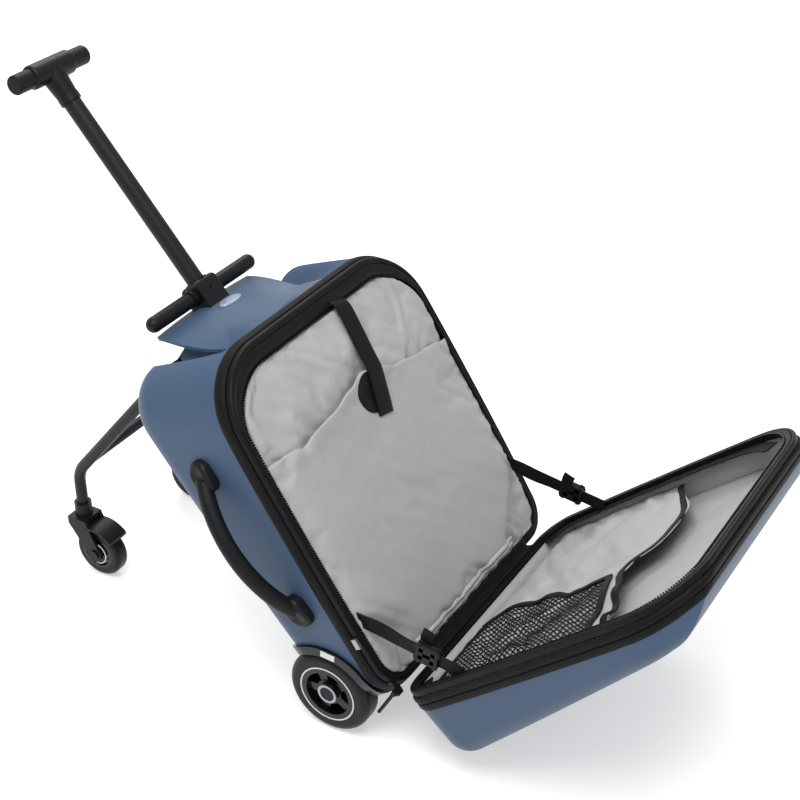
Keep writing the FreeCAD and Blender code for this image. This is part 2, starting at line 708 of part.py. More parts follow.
def split_outline(inset, depth):
    """A rounded outline in the split plane, at an inset from the rim and a depth."""
    half = side_at(0, inset)
    low, high = inset + PIPING_RADIUS + CLEAR, RIM - inset
    top = max(PANEL_TOP_CORNER - inset + PANEL_INSET, PANEL_BOTTOM_CORNER)
    base = PANEL_BOTTOM_CORNER
    bend = math.sqrt(0.5)
    edges = []
    ends = []
    for across, turn in ((1, -1), (1, 1), (-1, 1), (-1, -1)):
        radius = top if turn > 0 else base
        along = high - top if turn > 0 else low + base
        centre = across * (half - radius)
        outer = V(depth, across * half, along)
        level = V(depth, centre, along + turn * radius)
        middle = V(depth, centre + across * radius * bend, along + turn * radius * bend)
        first, last = (level, outer) if across * turn < 0 else (outer, level)
        ends.append((first, last))
        edges.append(Part.Arc(first, middle, last).toShape())
    for (_, leave), (arrive, _) in zip(ends, ends[1:] + ends[:1]):
        edges.append(Part.makeLine(leave, arrive))
    return Part.Wire(Part.__sortEdges__(edges))


def crowned_panel():
    """The whole padded divider panel, before its pocket slit is cut."""
    rise = PANEL_CROWN + BOARD_FACE
    sections = [(PANEL_INSET, BOARD_FACE), (PANEL_SHOULDER, rise / 2), (PANEL_FLAT, rise)]
    return Part.makeLoft([split_outline(inset, depth) for inset, depth in sections], True)


def slit_region(offset, end):
    """All of the split plane on one side of the pocket slit."""
    line = [(HALF_WIDTH * across, RIM * along + offset) for across, along in SLIT_SHARES]
    return prism_x(line + [(line[-1][0], end), (line[0][0], end)], -REACH, REACH)


def upper_panel():
    """The padded cloth panel above the pocket slit."""
    return in_split(crowned_panel().common(slit_region(SLIT_WIDTH / 2, REACH)))


def pocket_panel():
    """The padded cloth panel of the divider's pocket."""
    return in_split(crowned_panel().common(slit_region(-SLIT_WIDTH / 2, -REACH)))


def divider_board():
    """The stiff sheet behind the divider's cloth, set inside the zip tape."""
    return case_form(TAPE_INNER + CLEAR).common(slab(-TAPE_DEPTH, -TAPE_DEPTH + BOARD_WALL))


def strap_patch():
    """The round patch that the pocket strap closes on."""
    start = PANEL_CROWN + BOARD_FACE
    centre = V(start, HALF_WIDTH * PATCH_SHARES[0], RIM * PATCH_SHARES[1])
    return in_split(Part.makeCylinder(PATCH_RADIUS, PATCH_WALL, centre, V(1, 0, 0)))


def pocket_strap():
    """The webbing strap from the top of the rim down over the pocket slit."""
    low = PANEL_CROWN + BOARD_FACE + PATCH_WALL
    top, bend, end = RIM * STRAP_TOP_SHARES[1], RIM * STRAP_DROP_SHARE, RIM * STRAP_END_SHARES[1]
    under = [(BOARD_FACE, top), (low, bend), (low, end)]
    over = [(depth + WEBBING, along) for depth, along in reversed(under)]
    strap = prism_y(under + over, -REACH, REACH)
    half = POCKET_STRAP_WIDTH / 2
    head = HALF_WIDTH * STRAP_TOP_SHARES[0]
    tail = HALF_WIDTH * STRAP_END_SHARES[0]
    plan = [(tail - half, end), (tail + half, end), (head + half, top), (head - half, top)]
    strap = strap.common(prism_x(plan, -REACH, REACH)).cut(crowned_panel())
    return in_split(max(strap.Solids, key=lambda solid: solid.Volume))


def hem_piping():
    """The bright piping along the bottom hem of the divider."""
    along = HINGE_DROP + TAPE_INNER + 2 * CLEAR + PIPING_RADIUS
    return in_split(rod_y(PIPING_RADIUS, BOARD_FACE - CLEAR + PIPING_RADIUS, along, -PIPING_HALF, PIPING_HALF))


def split_point(depth, along, lid=False):
    """A point of the split plane in the case's frame, on the case or on the open lid."""
    point = SPLIT.multVec(V(depth, 0, along))
    if lid:
        turn = FreeCAD.Placement(ORIGIN, FreeCAD.Rotation(ACROSS, LID_OPEN), HINGE)
        point = turn.multVec(point)
    return point.x, point.z


def strap_ends():
    """Four corners of a lid strap: two on the case's rim, then two on the open lid's."""
    half = LID_STRAP_WIDTH / (2 * math.cos(math.radians(LID_OPEN / 2)))
    near, far = LID_STRAP_FROM_HINGE - half, LID_STRAP_FROM_HINGE + half
    case_side = [split_point(-STRAP_TUCK, along) for along in (near, far)]
    lid_side = [split_point(STRAP_TUCK, along, True) for along in (far, near)]
    return case_side + lid_side


def strap_face():
    """Distance from the middle to a lid strap's outer face, against both zip tapes."""
    return side_at(HINGE.z + LID_STRAP_FROM_HINGE - LID_STRAP_WIDTH, TAPE_INNER + CLEAR)


def lid_strap(side):
    """A webbing strap that stops the open lid."""
    face = side * strap_face()
    return prism_y(strap_ends(), face - side * WEBBING, face)


def lid_buckle(side):
    """The sliding buckle on a lid strap, with the strap passing through it."""
    corners = [V(x, 0, z) for x, z in strap_ends()]
    start = (corners[0] + corners[1]) / 2
    end = (corners[2] + corners[3]) / 2
    face = side * strap_face()
    middle = start + (end - start) * BUCKLE_PLACE_SHARE
    spread = BUCKLE_WALL + CLEAR
    low = (-BUCKLE_LENGTH / 2, min(face, face - side * WEBBING) - spread, -BUCKLE_WIDTH / 2)
    high = (BUCKLE_LENGTH / 2, max(face, face - side * WEBBING) + spread, BUCKLE_WIDTH / 2)
    frame = rounded(block(low, high), BUCKLE_WALL / 2, lambda p: abs(p.x) > BUCKLE_LENGTH / 2 - TOUCH)
    slot_low = (-BUCKLE_LENGTH, low[1] + BUCKLE_WALL, -LID_STRAP_WIDTH / 2 - CLEAR)
    slot_high = (BUCKLE_LENGTH, high[1] - BUCKLE_WALL, LID_STRAP_WIDTH / 2 + CLEAR)
    frame = frame.cut(block(slot_low, slot_high))
    slope = math.degrees(math.atan2(start.z - end.z, end.x - start.x))
    frame.rotate(ORIGIN, ACROSS, slope)
    frame.translate(middle)
    return frame


def hinge_cloth():
    """The sewn cloth hinge, a leaf on each half's rim and a fold on the hinge line."""
    low = (-ZIP_GAP, -HINGE_HALF, 0)
    leaf = in_split(block(low, (-ZIP_GAP + HINGE_CLOTH, HINGE_HALF, TAPE_INNER)))
    lid_leaf = in_split(block((ZIP_GAP - HINGE_CLOTH, -HINGE_HALF, 0), (ZIP_GAP, HINGE_HALF, TAPE_INNER)))
    fold = rod_y(HINGE_FOLD_RADIUS, HINGE.x, HINGE.z, -HINGE_HALF, HINGE_HALF)
    return leaf.fuse([opened(lid_leaf), fold])


def pocket_region(start, end, near, far):
    """A flat piece of a lid pocket between two y values and two distances from the hinge."""
    return in_split(block((POCKET_DEPTH, start, near), (POCKET_DEPTH + POCKET_WALL, end, far)))


def pocket_side():
    """Distance from the middle to where the pockets are sewn to the lid's lining."""
    return side_at(0, lining_inner()) - POCKET_MARGIN / 2


def lid_pocket_panel():
    """The cloth pocket on the right half of the lid, sewn to the lining at its edges."""
    seam = POCKET_SEAM + BINDING_WIDTH / 2
    pocket = pocket_region(seam, HALF_WIDTH, 0, POCKET_END)
    return pocket.common(case_form(lining_inner() + CLEAR))


def lid_mesh_pocket():
    """The net pocket on the left half of the lid: one sheet with a grid of holes."""
    edge = -pocket_side()
    seam = POCKET_SEAM - BINDING_WIDTH / 2
    outer = [(edge, POCKET_START), (seam, POCKET_START), (seam, POCKET_END), (edge, POCKET_END)]
    face = Part.Face(Part.makePolygon([V(POCKET_DEPTH, y, z) for y, z in outer + outer[:1]]))
    columns = int((seam - edge) // NET_PITCH)
    rows = int((POCKET_END - POCKET_START) // NET_PITCH)
    first_y = edge + (seam - edge - columns * NET_PITCH + NET_PITCH) / 2
    first_z = POCKET_START + (POCKET_END - POCKET_START - rows * NET_PITCH + NET_PITCH) / 2
    wires = [face.OuterWire]
    for column in range(columns):
        for row in range(rows):
            y, z = first_y + column * NET_PITCH, first_z + row * NET_PITCH
            half = NET_HOLE / 2
            hole = [(y - half, z - half), (y + half, z - half), (y + half, z + half), (y - half, z + half)]
            wires.append(Part.makePolygon([V(POCKET_DEPTH, a, b) for a, b in hole + hole[:1]]))
    net = Part.Face(wires, "Part::FaceMakerBullseye").extrude(V(POCKET_WALL, 0, 0))
    return in_split(net)


def pocket_binding():
    """The dark binding: across the pockets' mouth, down their seam and round the net's other edges."""
    edge = -pocket_side()
    inner = edge - POCKET_MARGIN
    seam = POCKET_SEAM
    half = BINDING_WIDTH / 2
    spans = [(inner, HALF_WIDTH, POCKET_END, POCKET_END + BINDING_WIDTH)]
    spans.append((seam - half, seam + half, 0, POCKET_END))
    spans.append((inner, seam - half, 0, POCKET_START))
    spans.append((inner, edge, POCKET_START, POCKET_END))
    extra = (BINDING_WALL - POCKET_WALL) / 2
    strips = []
    for start, end, near, far in spans:
        strips.append(block((POCKET_DEPTH - extra, start, near), (POCKET_DEPTH + POCKET_WALL + extra, end, far)))
    binding = in_split(strips[0].fuse(strips[1:]).removeSplitter())
    return binding.common(case_form(lining_inner() + CLEAR))


def lining_inner():
    """The inset of the lid lining's inner face."""
    return BAND_WALL + CLEAR + LINING_WALL


def lid_lining():
    """The cloth tub inside the lid."""
    return skin(BAND_WALL + CLEAR, lining_inner(), TAPE_DEPTH + CLEAR, REACH)


def zip_slider():
    """The metal slider on the left stretch of the case's zip."""
    face = slider_face(SLIDER_ALONG)
    low = (-TAPE_DEPTH + SLIDER_SIDE_GAP, -face - SLIDER_WALL, SLIDER_ALONG - SLIDER_LENGTH / 2)
    high = (-ZIP_GAP - SLIDER_SIDE_GAP, -face, SLIDER_ALONG + SLIDER_LENGTH / 2)
    body = rounded(block(low, high), SLIDER_ROUND, lambda p: p.y < -face - SLIDER_WALL + TOUCH)
    return in_split(body)


def slider_face(along):
    """How far out the slider's inner face runs at a place on the rim: a chord clear of the bowed tape."""
    first, last = SLIDER_ALONG - SLIDER_LENGTH / 2, SLIDER_ALONG + SLIDER_TRAVEL + SLIDER_LENGTH / 2
    ends = [side_at(split_point(0, place)[1], TAPE_INSET) for place in (first, last)]
    middle = side_at(split_point(0, (first + last) / 2)[1], TAPE_INSET)
    bulge = middle - sum(ends) / 2
    share = (along - first) / (last - first)
    return ends[0] + share * (ends[1] - ends[0]) + bulge + CLEAR


def pull_pivot():
    """The hanging pull's pivot, under the left bottom corner of the rim."""
    x, z = split_point(-TAPE_DEPTH / 2, 0)
    return V(x, -PULL_PLACE - PULL_HALF, z + PULL_PIVOT_RISE)


def zip_end_block():
    """The zip's end stop at the corner, with the pin that the pull hangs on."""
    pivot = pull_pivot()
    low = (-TAPE_DEPTH + SLIDER_SIDE_GAP, -PULL_PLACE - PULL_HALF, -PULL_STOP_DROP)
    high = (-ZIP_GAP - SLIDER_SIDE_GAP, -PULL_PLACE + PULL_HALF, BOTTOM_CORNER)
    stop = in_split(block(low, high)).cut(case_form(TAPE_INSET))
    stop = max(stop.Solids, key=lambda solid: -solid.CenterOfMass.z)
    pin_end = pivot.y - 2 * PULL_RADIUS - CLEAR
    return stop.fuse(rod_y(PULL_PIN_RADIUS, pivot.x, pivot.z, pivot.y + PULL_HALF, pin_end))


def zip_pull():
    """The cord pull that hangs from the zip's end."""
    pivot = pull_pivot()
    eye_start = pivot.y - CLEAR
    eye = rod_y(PULL_EYE_RADIUS, pivot.x, pivot.z, eye_start, eye_start - 2 * PULL_RADIUS)
    way = V(-math.cos(math.radians(PULL_ANGLE)), 0, -math.sin(math.radians(PULL_ANGLE)))
    start = V(pivot.x, eye_start - PULL_RADIUS, pivot.z) + way * PULL_EYE_RADIUS / 2
    cord = Part.makeCylinder(PULL_RADIUS, PULL_LENGTH, start, way)
    pull = eye.fuse([cord, Part.makeSphere(PULL_RADIUS, start + way * PULL_LENGTH)])
    return pull.cut(rod_y(PULL_PIN_RADIUS + FIT, pivot.x, pivot.z, eye_start + CLEAR, eye_start - REACH))


def tyre_y(outer, thickness, edge, x, z, start, end):
    """A tyre with rounded shoulders across the case."""
    low, high = min(start, end), max(start, end)
    body = rod_y(outer, x, z, low, high)
    body = rounded(body, edge, lambda p: p.y < low + TOUCH or p.y > high - TOUCH)
    return body.cut(rod_y(outer - thickness, x, z, low, high))


def rear_tyre(side):
    """A rear wheel's tyre."""
    start, end = side * WHEEL_INNER_FACE, side * WHEEL_OUTER_FACE
    return tyre_y(WHEEL_RADIUS, TYRE_THICKNESS, TYRE_ROUND, 0, 0, start, end)


def rear_hub(side):
    """The spoked rim inside a rear tyre."""
    start, end = side * WHEEL_INNER_FACE, side * WHEEL_OUTER_FACE
    seat = WHEEL_RADIUS - TYRE_THICKNESS
    hub = ring_y(seat, seat - RIM_THICKNESS, 0, 0, start, end)
    inset_start, inset_end = start + side * SPOKE_INSET, end - side * SPOKE_INSET
    low = (0, min(inset_start, inset_end), -SPOKE_WIDTH / 2)
    high = (seat - RIM_THICKNESS / 2, max(inset_start, inset_end), SPOKE_WIDTH / 2)
    spokes = []
    for number in range(SPOKES):
        spoke = block(low, high)
        spoke.rotate(ORIGIN, ACROSS, 360 * number / SPOKES)
        spokes.append(spoke)
    boss = rod_y(BOSS_RADIUS, 0, 0, start, end - side * NUT_LENGTH)
    hub = hub.fuse(spokes + [boss])
    return hub.cut(rod_y(BEARING_RADIUS + FIT, 0, 0, start, end)).removeSplitter()


def rear_bearings():
    """The four ball bearings of the rear wheels, drawn as plain rings that stay on the axle."""
    rings = []
    for side in SIDES.values():
        start, end = side * WHEEL_INNER_FACE, side * (WHEEL_OUTER_FACE - NUT_LENGTH)
        rings.append(ring_y(BEARING_RADIUS, AXLE_RADIUS, 0, 0, start, start + side * BEARING_WIDTH))
        rings.append(ring_y(BEARING_RADIUS, AXLE_RADIUS, 0, 0, end - side * BEARING_WIDTH, end))
    return Part.makeCompound(rings)


def rear_axle():
    """The axle through both rear wheels."""
    return rod_y(AXLE_RADIUS, 0, 0, -WHEEL_OUTER_FACE + NUT_LENGTH, WHEEL_OUTER_FACE - NUT_LENGTH)


def axle_nut(side):
    """The domed nut on an end of the axle, which holds the bearing on."""
    start, end = side * (WHEEL_OUTER_FACE - NUT_LENGTH), side * WHEEL_OUTER_FACE
    nut = rod_y(NUT_RADIUS, 0, 0, start, end)
    return rounded(nut, NUT_ROUND, lambda p: abs(p.y) > WHEEL_OUTER_FACE - TOUCH)


def pivot_point():
    """The front frame's pivot in the floor frame."""
    return floor_point(-PIVOT_BEHIND, PIVOT_HEIGHT)


def frame_brackets():
    """Four ears on the back of the case, two round each leg's eye."""
    ears = []
    for side in SIDES.values():
        for face in (-1, 1):
            start = side * LEG_SPREAD + face * (EYE_HALF + EAR_GAP)
            end = start + face * EAR_WALL
            plate = block(
                (-PIVOT_BEHIND, min(start, end), PIVOT_HEIGHT - EAR_RADIUS),
                (0, max(start, end), PIVOT_HEIGHT + EAR_RADIUS),
            )
            ear = plate.fuse(rod_y(EAR_RADIUS, -PIVOT_BEHIND, PIVOT_HEIGHT, start, end)).removeSplitter()
            ear = ear.cut(case_body(0))
            ears.append(ear.cut(rod_y(PIVOT_PIN_RADIUS, -PIVOT_BEHIND, PIVOT_HEIGHT, start, end)))
    return Part.makeCompound(ears)


def frame_pins():
    """The two pins that the front frame folds on."""
    reach = EYE_HALF + EAR_GAP + EAR_WALL + PIN_HEAD
    pins = []
    for side in SIDES.values():
        middle = side * LEG_SPREAD
        pins.append(rod_y(PIVOT_PIN_RADIUS, -PIVOT_BEHIND, PIVOT_HEIGHT, middle - reach, middle + reach))
    return Part.makeCompound(pins)


def leg_path(y):
    """A leg's centre line: from its pivot straight down to the bend, round it, and down the stem."""
    pivot_x, pivot_z = pivot_point()
    pivot = V(pivot_x, y, pivot_z)
    corner = V(-STEM_BEHIND, y, BEND_HEIGHT)
    foot = V(-STEM_BEHIND, y, STEM_BOTTOM)
    up = (pivot - corner).normalize()
    down = (foot - corner).normalize()
    half_turn = up.getAngle(down) / 2
    leave = corner + up * (BEND_RADIUS / math.tan(half_turn))
    arrive = corner + down * (BEND_RADIUS / math.tan(half_turn))
    inside = (up + down).normalize()
    middle = corner + inside * (BEND_RADIUS / math.sin(half_turn) - BEND_RADIUS)
    bend = Part.Arc(leave, middle, arrive).toShape()
    return Part.Wire([Part.makeLine(pivot, leave), bend, Part.makeLine(arrive, foot)])


def frame_leg(side):
    """One bent leg of the front frame, with an eye on top and a socket for the caster's stem."""
    y = side * LEG_SPREAD
    x, z = pivot_point()
    path = leg_path(y)
    start = path.Vertexes[0].Point
    section = Part.Wire([Part.makeCircle(LEG_RADIUS, start, path.Edges[0].tangentAt(0))])
    leg = path.makePipeShell([section], True, False)
    leg = leg.fuse(rod_y(EYE_RADIUS, x, z, y - EYE_HALF, y + EYE_HALF))
    leg = leg.cut(rod_y(PIVOT_PIN_RADIUS + FIT, x, z, y - EYE_HALF, y + EYE_HALF))
    return leg.cut(rod_z(STEM_RADIUS + FIT, -STEM_BEHIND, y, STEM_BOTTOM, STEM_BOTTOM + STEM_LENGTH + CLEAR))


def cross_tube(legs):
    """The tube that joins the two legs just above their bends."""
    x, z = pivot_point()
    place_x = -STEM_BEHIND + CROSS_TUBE_SHARE * (x + STEM_BEHIND)
    place_z = BEND_HEIGHT + CROSS_TUBE_SHARE * (z - BEND_HEIGHT)
    tube = rod_y(CROSS_TUBE_RADIUS, place_x, place_z, -LEG_SPREAD, LEG_SPREAD)
    for leg in legs:
        tube = tube.cut(leg)
    return max(tube.Solids, key=lambda solid: solid.Volume)


def stem_socket(side):
    """The collar at the foot of a leg."""
    y = side * LEG_SPREAD
    collar = rod_z(LEG_RADIUS + SOCKET_WALL, -STEM_BEHIND, y, STEM_BOTTOM, STEM_BOTTOM + SOCKET_LENGTH)
    return collar.cut(rod_z(LEG_RADIUS, -STEM_BEHIND, y, STEM_BOTTOM, STEM_BOTTOM + SOCKET_LENGTH))


def caster_fork(side):
    """A caster's fork: crown, two plates, a short fender over the wheel and the swivel stem."""
    y = side * LEG_SPREAD
    wheel_x = CASTER_TRAIL - STEM_BEHIND
    top = STEM_BOTTOM - CLEAR
    inner = CASTER_HALF + FORK_GAP
    outer = inner + FORK_WALL
    left, right = -STEM_BEHIND - FORK_REACH, -STEM_BEHIND + FORK_REACH
    fork = block((left, y - outer, top - CROWN_WALL), (right, y + outer, top))
    outline = [(left, top - CROWN_WALL), (left, top), (right, top)]
    outline += [(wheel_x + FORK_EAR, CASTER_RADIUS), (wheel_x - FORK_EAR, CASTER_RADIUS)]
    for face in (-1, 1):
        start, end = y + face * inner, y + face * outer
        plate = prism_y(outline, start, end).fuse(rod_y(FORK_EAR, wheel_x, CASTER_RADIUS, start, end))
        fork = fork.fuse(plate)
    low = CASTER_RADIUS + FENDER_GAP
    fender = ring_y(low + FENDER_WALL, low, wheel_x, CASTER_RADIUS, y - outer, y + outer)
    fender_low = (right - FORK_REACH, y - outer, CASTER_RADIUS + FENDER_DROP)
    fender = fender.common(block(fender_low, (wheel_x + FENDER_REACH, y + outer, top)))
    fork = fork.fuse(fender).cut(rod_y(low, wheel_x, CASTER_RADIUS, y - inner, y + inner))
    fork = fork.fuse(rod_z(STEM_RADIUS, -STEM_BEHIND, y, top, STEM_BOTTOM + STEM_LENGTH))
    return fork.cut(rod_y(BOLT_RADIUS, wheel_x, CASTER_RADIUS, y - outer, y + outer)).removeSplitter()


def caster_bolt(side):
    """The bolt that a caster wheel turns on."""
    y = side * LEG_SPREAD
    wheel_x = CASTER_TRAIL - STEM_BEHIND
    reach = CASTER_HALF + FORK_GAP + FORK_WALL
    bolt = rod_y(BOLT_RADIUS, wheel_x, CASTER_RADIUS, y - reach, y + reach)
    for face in (-1, 1):
        start = y + face * reach
        head = rod_y(BOLT_HEAD_RADIUS, wheel_x, CASTER_RADIUS, start, start + face * BOLT_HEAD)
        bolt = bolt.fuse(head)
    return bolt.removeSplitter()


def caster_tyre(side):
    """A caster wheel's tyre."""
    y = side * LEG_SPREAD
    wheel_x = CASTER_TRAIL - STEM_BEHIND
    return tyre_y(
        CASTER_RADIUS, CASTER_TYRE, CASTER_ROUND, wheel_x, CASTER_RADIUS, y - CASTER_HALF, y + CASTER_HALF
    )


def caster_hub(side):
    """A caster's dished hub."""
    y = side * LEG_SPREAD
    wheel_x = CASTER_TRAIL - STEM_BEHIND
    seat = CASTER_RADIUS - CASTER_TYRE
    web = CASTER_HALF - CASTER_WEB_INSET
    rim = ring_y(seat, seat - CASTER_RIM, wheel_x, CASTER_RADIUS, y - CASTER_HALF, y + CASTER_HALF)
    disc = rod_y(seat - CASTER_RIM, wheel_x, CASTER_RADIUS, y - web, y + web)
    reach = CASTER_HALF + FORK_GAP - CLEAR
    boss = rod_y(CASTER_BOSS, wheel_x, CASTER_RADIUS, y - reach, y + reach)
    bore = rod_y(BOLT_RADIUS + FIT, wheel_x, CASTER_RADIUS, y - reach, y + reach)
    return rim.fuse([disc, boss]).cut(bore).removeSplitter()


def case_pieces():
    """The pieces that are drawn in the case's frame and don't ride on the lid."""
    nose = seat_nose()
    caps = carry_caps()
    pieces = {
        "main_shell": main_shell(),
        "seat_nose": nose,
        "arch_reflectors": arch_reflectors(),
        "case_zip_band": skin(0, BAND_WALL, -CASE_BAND_DEPTH, -TAPE_DEPTH),
        "case_zip_tape": skin(TAPE_INSET, TAPE_INNER, -TAPE_DEPTH, -ZIP_GAP),
        "divider_board": divider_board(),
        "upper_panel": upper_panel(),
        "pocket_panel": pocket_panel(),
        "strap_patch": strap_patch(),
        "pocket_strap": pocket_strap(),
        "hem_piping": hem_piping(),
        "hinge_cloth": hinge_cloth(),
        "rod_guide": rod_guide(),
        "guide_foot": guide_foot(),
        "rod_bush": rod_bush(),
        "collar_block": collar_block(nose),
        "collar_screw": collar_screw(),
        "carry_caps": caps,
        "carry_grip": carry_grip(caps),
        "rear_axle": rear_axle(),
        "rear_bearings": rear_bearings(),
        "frame_brackets": frame_brackets(),
        "frame_pins": frame_pins(),
        "zip_end_block": zip_end_block(),
        "tow_tube": tow_tube(),
        "tube_plug": tube_plug(),
        "handle_neck": handle_neck(),
        "handle_core": handle_core(),
        "release_button": release_button(),
        "zip_slider": zip_slider(),
        "zip_pull": zip_pull(),
    }
    pairs = {
        "wheel_arches": wheel_arch,
        "crossbars": crossbar,
        "lid_straps": lid_strap,
        "lid_buckles": lid_buckle,
        "handle_grips": grip,
        "axle_nuts": axle_nut,
    }
    for name, make in pairs.items():
        pieces[name] = both_sides(make)
    for name, side in SIDES.items():
        pieces["rear_tyre_" + name] = rear_tyre(side)
        pieces["rear_hub_" + name] = rear_hub(side)
    return pieces


def lid_pieces():
    """The pieces of the lid, drawn closed."""
    return {
        "lid_shell": skin(0, SHELL_WALL, LID_BAND_DEPTH, REACH),
        "lid_zip_band": skin(0, BAND_WALL, TAPE_DEPTH, LID_BAND_DEPTH),
        "lid_zip_tape": skin(TAPE_INSET, TAPE_INNER, ZIP_GAP, TAPE_DEPTH),
        "lid_lining": lid_lining(),
        "lid_pocket_panel": lid_pocket_panel(),
        "lid_mesh_pocket": lid_mesh_pocket(),
        "pocket_binding": pocket_binding(),
    }


def floor_pieces():
    """The front frame and its casters."""
    legs = {name: frame_leg(side) for name, side in SIDES.items()}
    pieces = {"frame_cross_tube": cross_tube(legs.values()), "stem_sockets": both_sides(stem_socket)}
    for name, side in SIDES.items():
        pieces["frame_leg_" + name] = legs[name]
        pieces["caster_fork_" + name] = caster_fork(side)
        pieces["caster_bolt_" + name] = caster_bolt(side)
        pieces["caster_tyre_" + name] = caster_tyre(side)
        pieces["caster_hub_" + name] = caster_hub(side)
    return pieces


def whole_object():
    """Every piece in the floor frame, moved so that the origin is under the middle of its box."""
    pieces = {name: leaned(shape) for name, shape in case_pieces().items()}
    pieces.update({name: leaned(opened(shape)) for name, shape in lid_pieces().items()})
    pieces.update(floor_pieces())
    box = FreeCAD.BoundBox()
    for shape in pieces.values():
        box.add(shape.optimalBoundingBox(False))
    shift = V(-box.Center.x, -box.Center.y, -box.ZMin)
    for shape in pieces.values():
        shape.translate(shift)
    return pieces, shift


PIECES, SHIFT = whole_object()
os.makedirs("parts", exist_ok=True)
for name, shape in PIECES.items():
    solids = len(shape.Solids)
    print(name, solids, "solids", round(shape.Volume), "mm3", "" if shape.isValid() else "NOT VALID")
    shape.exportStep("parts/" + name + ".step")
print(len(PIECES), "pieces, moved by", SHIFT)
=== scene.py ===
# %% [markdown]
# # Dressing a ride-on suitcase
# A child's suitcase stands on four wheels, leaned back for riding, with its lid unzipped and hanging open.
# The solids come in as a fixed frame. This lesson gives them their finishes, and makes in mesh code what
# solids do badly: cloth, webbing, zip tape, net and the fine parts of the wheels and handles.

# %% Load the frame
import json
import math
import bmesh
import bpy
from mathutils import Matrix, Quaternion, Vector, noise
from mathutils.bvhtree import BVHTree


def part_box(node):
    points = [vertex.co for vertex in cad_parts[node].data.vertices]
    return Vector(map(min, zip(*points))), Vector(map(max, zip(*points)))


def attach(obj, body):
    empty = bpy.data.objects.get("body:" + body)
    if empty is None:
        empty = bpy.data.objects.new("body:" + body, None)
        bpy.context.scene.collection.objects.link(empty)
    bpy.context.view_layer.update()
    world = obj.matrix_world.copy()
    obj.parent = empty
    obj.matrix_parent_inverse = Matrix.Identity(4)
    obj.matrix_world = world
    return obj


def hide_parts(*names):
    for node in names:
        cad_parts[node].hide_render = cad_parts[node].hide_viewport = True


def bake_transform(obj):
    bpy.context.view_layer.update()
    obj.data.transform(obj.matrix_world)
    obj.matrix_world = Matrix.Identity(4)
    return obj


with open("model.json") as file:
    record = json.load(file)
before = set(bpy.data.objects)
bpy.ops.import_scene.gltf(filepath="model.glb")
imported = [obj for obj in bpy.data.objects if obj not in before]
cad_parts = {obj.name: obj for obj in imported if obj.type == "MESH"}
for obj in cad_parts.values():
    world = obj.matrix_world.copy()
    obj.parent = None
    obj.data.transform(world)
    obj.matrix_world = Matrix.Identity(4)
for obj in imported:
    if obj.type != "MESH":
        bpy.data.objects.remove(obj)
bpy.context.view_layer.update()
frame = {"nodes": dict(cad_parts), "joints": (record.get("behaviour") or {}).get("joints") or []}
scene = bpy.context.scene
scene.view_settings.view_transform = "Standard"

# %% [markdown]
# ## Frames to draw in
# The case leans back, its rim leans a little less, and the lid hangs open, so nothing lies along the
# world's axes. It could all be drawn in world coordinates, but a piece is far easier to draw upright, in
# millimetres, in the frame of what carries it, and to move once at the end. In the rim's frame X goes
# through the split, Y across the case and Z up the rim from the hinge. The open lid has the same frame,
# turned about the hinge.

# %% Frames
MM = 0.001
RIM_TILT = 7.3
LID_TURN = 82.0
joints = {joint["name"]: joint for joint in frame["joints"]}
lean = math.asin(-joints["tow_slide"]["axis"][0])
axle = sum(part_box("rear_axle"), Vector()) / 2
hinge = Vector(joints["lid_hinge"]["pos_m"])


def turned(angle):
    """A turn about Y."""
    return Matrix.Rotation(angle, 4, "Y")


TO_METRES = Matrix.Scale(MM, 4)
CASE = Matrix.Translation(axle) @ turned(-lean) @ TO_METRES
RIM = Matrix.Translation(hinge) @ turned(math.radians(RIM_TILT) - lean) @ TO_METRES
LID = Matrix.Translation(hinge) @ turned(math.radians(RIM_TILT + LID_TURN) - lean) @ TO_METRES
FLOOR = Matrix.Translation((axle.x, axle.y, 0)) @ TO_METRES
TO_RIM = RIM.inverted()
CASE_TO_RIM, LID_TO_RIM = TO_RIM @ CASE, TO_RIM @ LID
print("lean", round(math.degrees(lean), 2), "axle", [round(x, 4) for x in axle])

# %% [markdown]
# ## The camera
# A photograph's view can be matched by eye, but here the wheels, the tube and the rim gave a fit: a long
# lens from the right and above. The place is given from the floor under the rear axle, so it follows the
# frame.

# %% Camera
CAMERA_PLACE = (734.0, -1236.5, 1233.6)
AZIMUTH, ELEVATION, ROLL = 31.3, 32.3, -0.2
SENSOR_WIDTH, FOCAL_WIDTHS = 36.0, 2.0
camera = bpy.data.objects.new("camera", bpy.data.cameras.new("camera"))
scene.collection.objects.link(camera)
azimuth, elevation = math.radians(AZIMUTH), math.radians(ELEVATION)
level = math.cos(elevation)
backward = Vector((math.sin(azimuth) * level, -math.cos(azimuth) * level, math.sin(elevation)))
camera.location = FLOOR @ Vector(CAMERA_PLACE)
camera.rotation_mode = "QUATERNION"
roll = Quaternion((0, 0, 1), math.radians(ROLL))
camera.rotation_quaternion = (-backward).to_track_quat("-Z", "Y") @ roll
camera.data.sensor_width = SENSOR_WIDTH
camera.data.lens = SENSOR_WIDTH * FOCAL_WIDTHS
scene.camera = camera
print("camera at", [round(x, 3) for x in camera.location])

# %% [markdown]
# ## One way to write a material
# Node trees are quickest to read when every node is added the same way: its kind, what goes into its
# sockets, and its settings. A colour is written as the hex value that a paint program shows, and one
# function turns it into the linear numbers that the sockets hold.


# %% Material helpers
def linear(hex_colour):
    """The linear numbers of an sRGB hex colour."""
    parts = [int(hex_colour[i:i + 2], 16) / 255 for i in (1, 3, 5)]
    return [c / 12.92 if c <= 0.04045 else ((c + 0.055) / 1.055) ** 2.4 for c in parts] + [1.0]


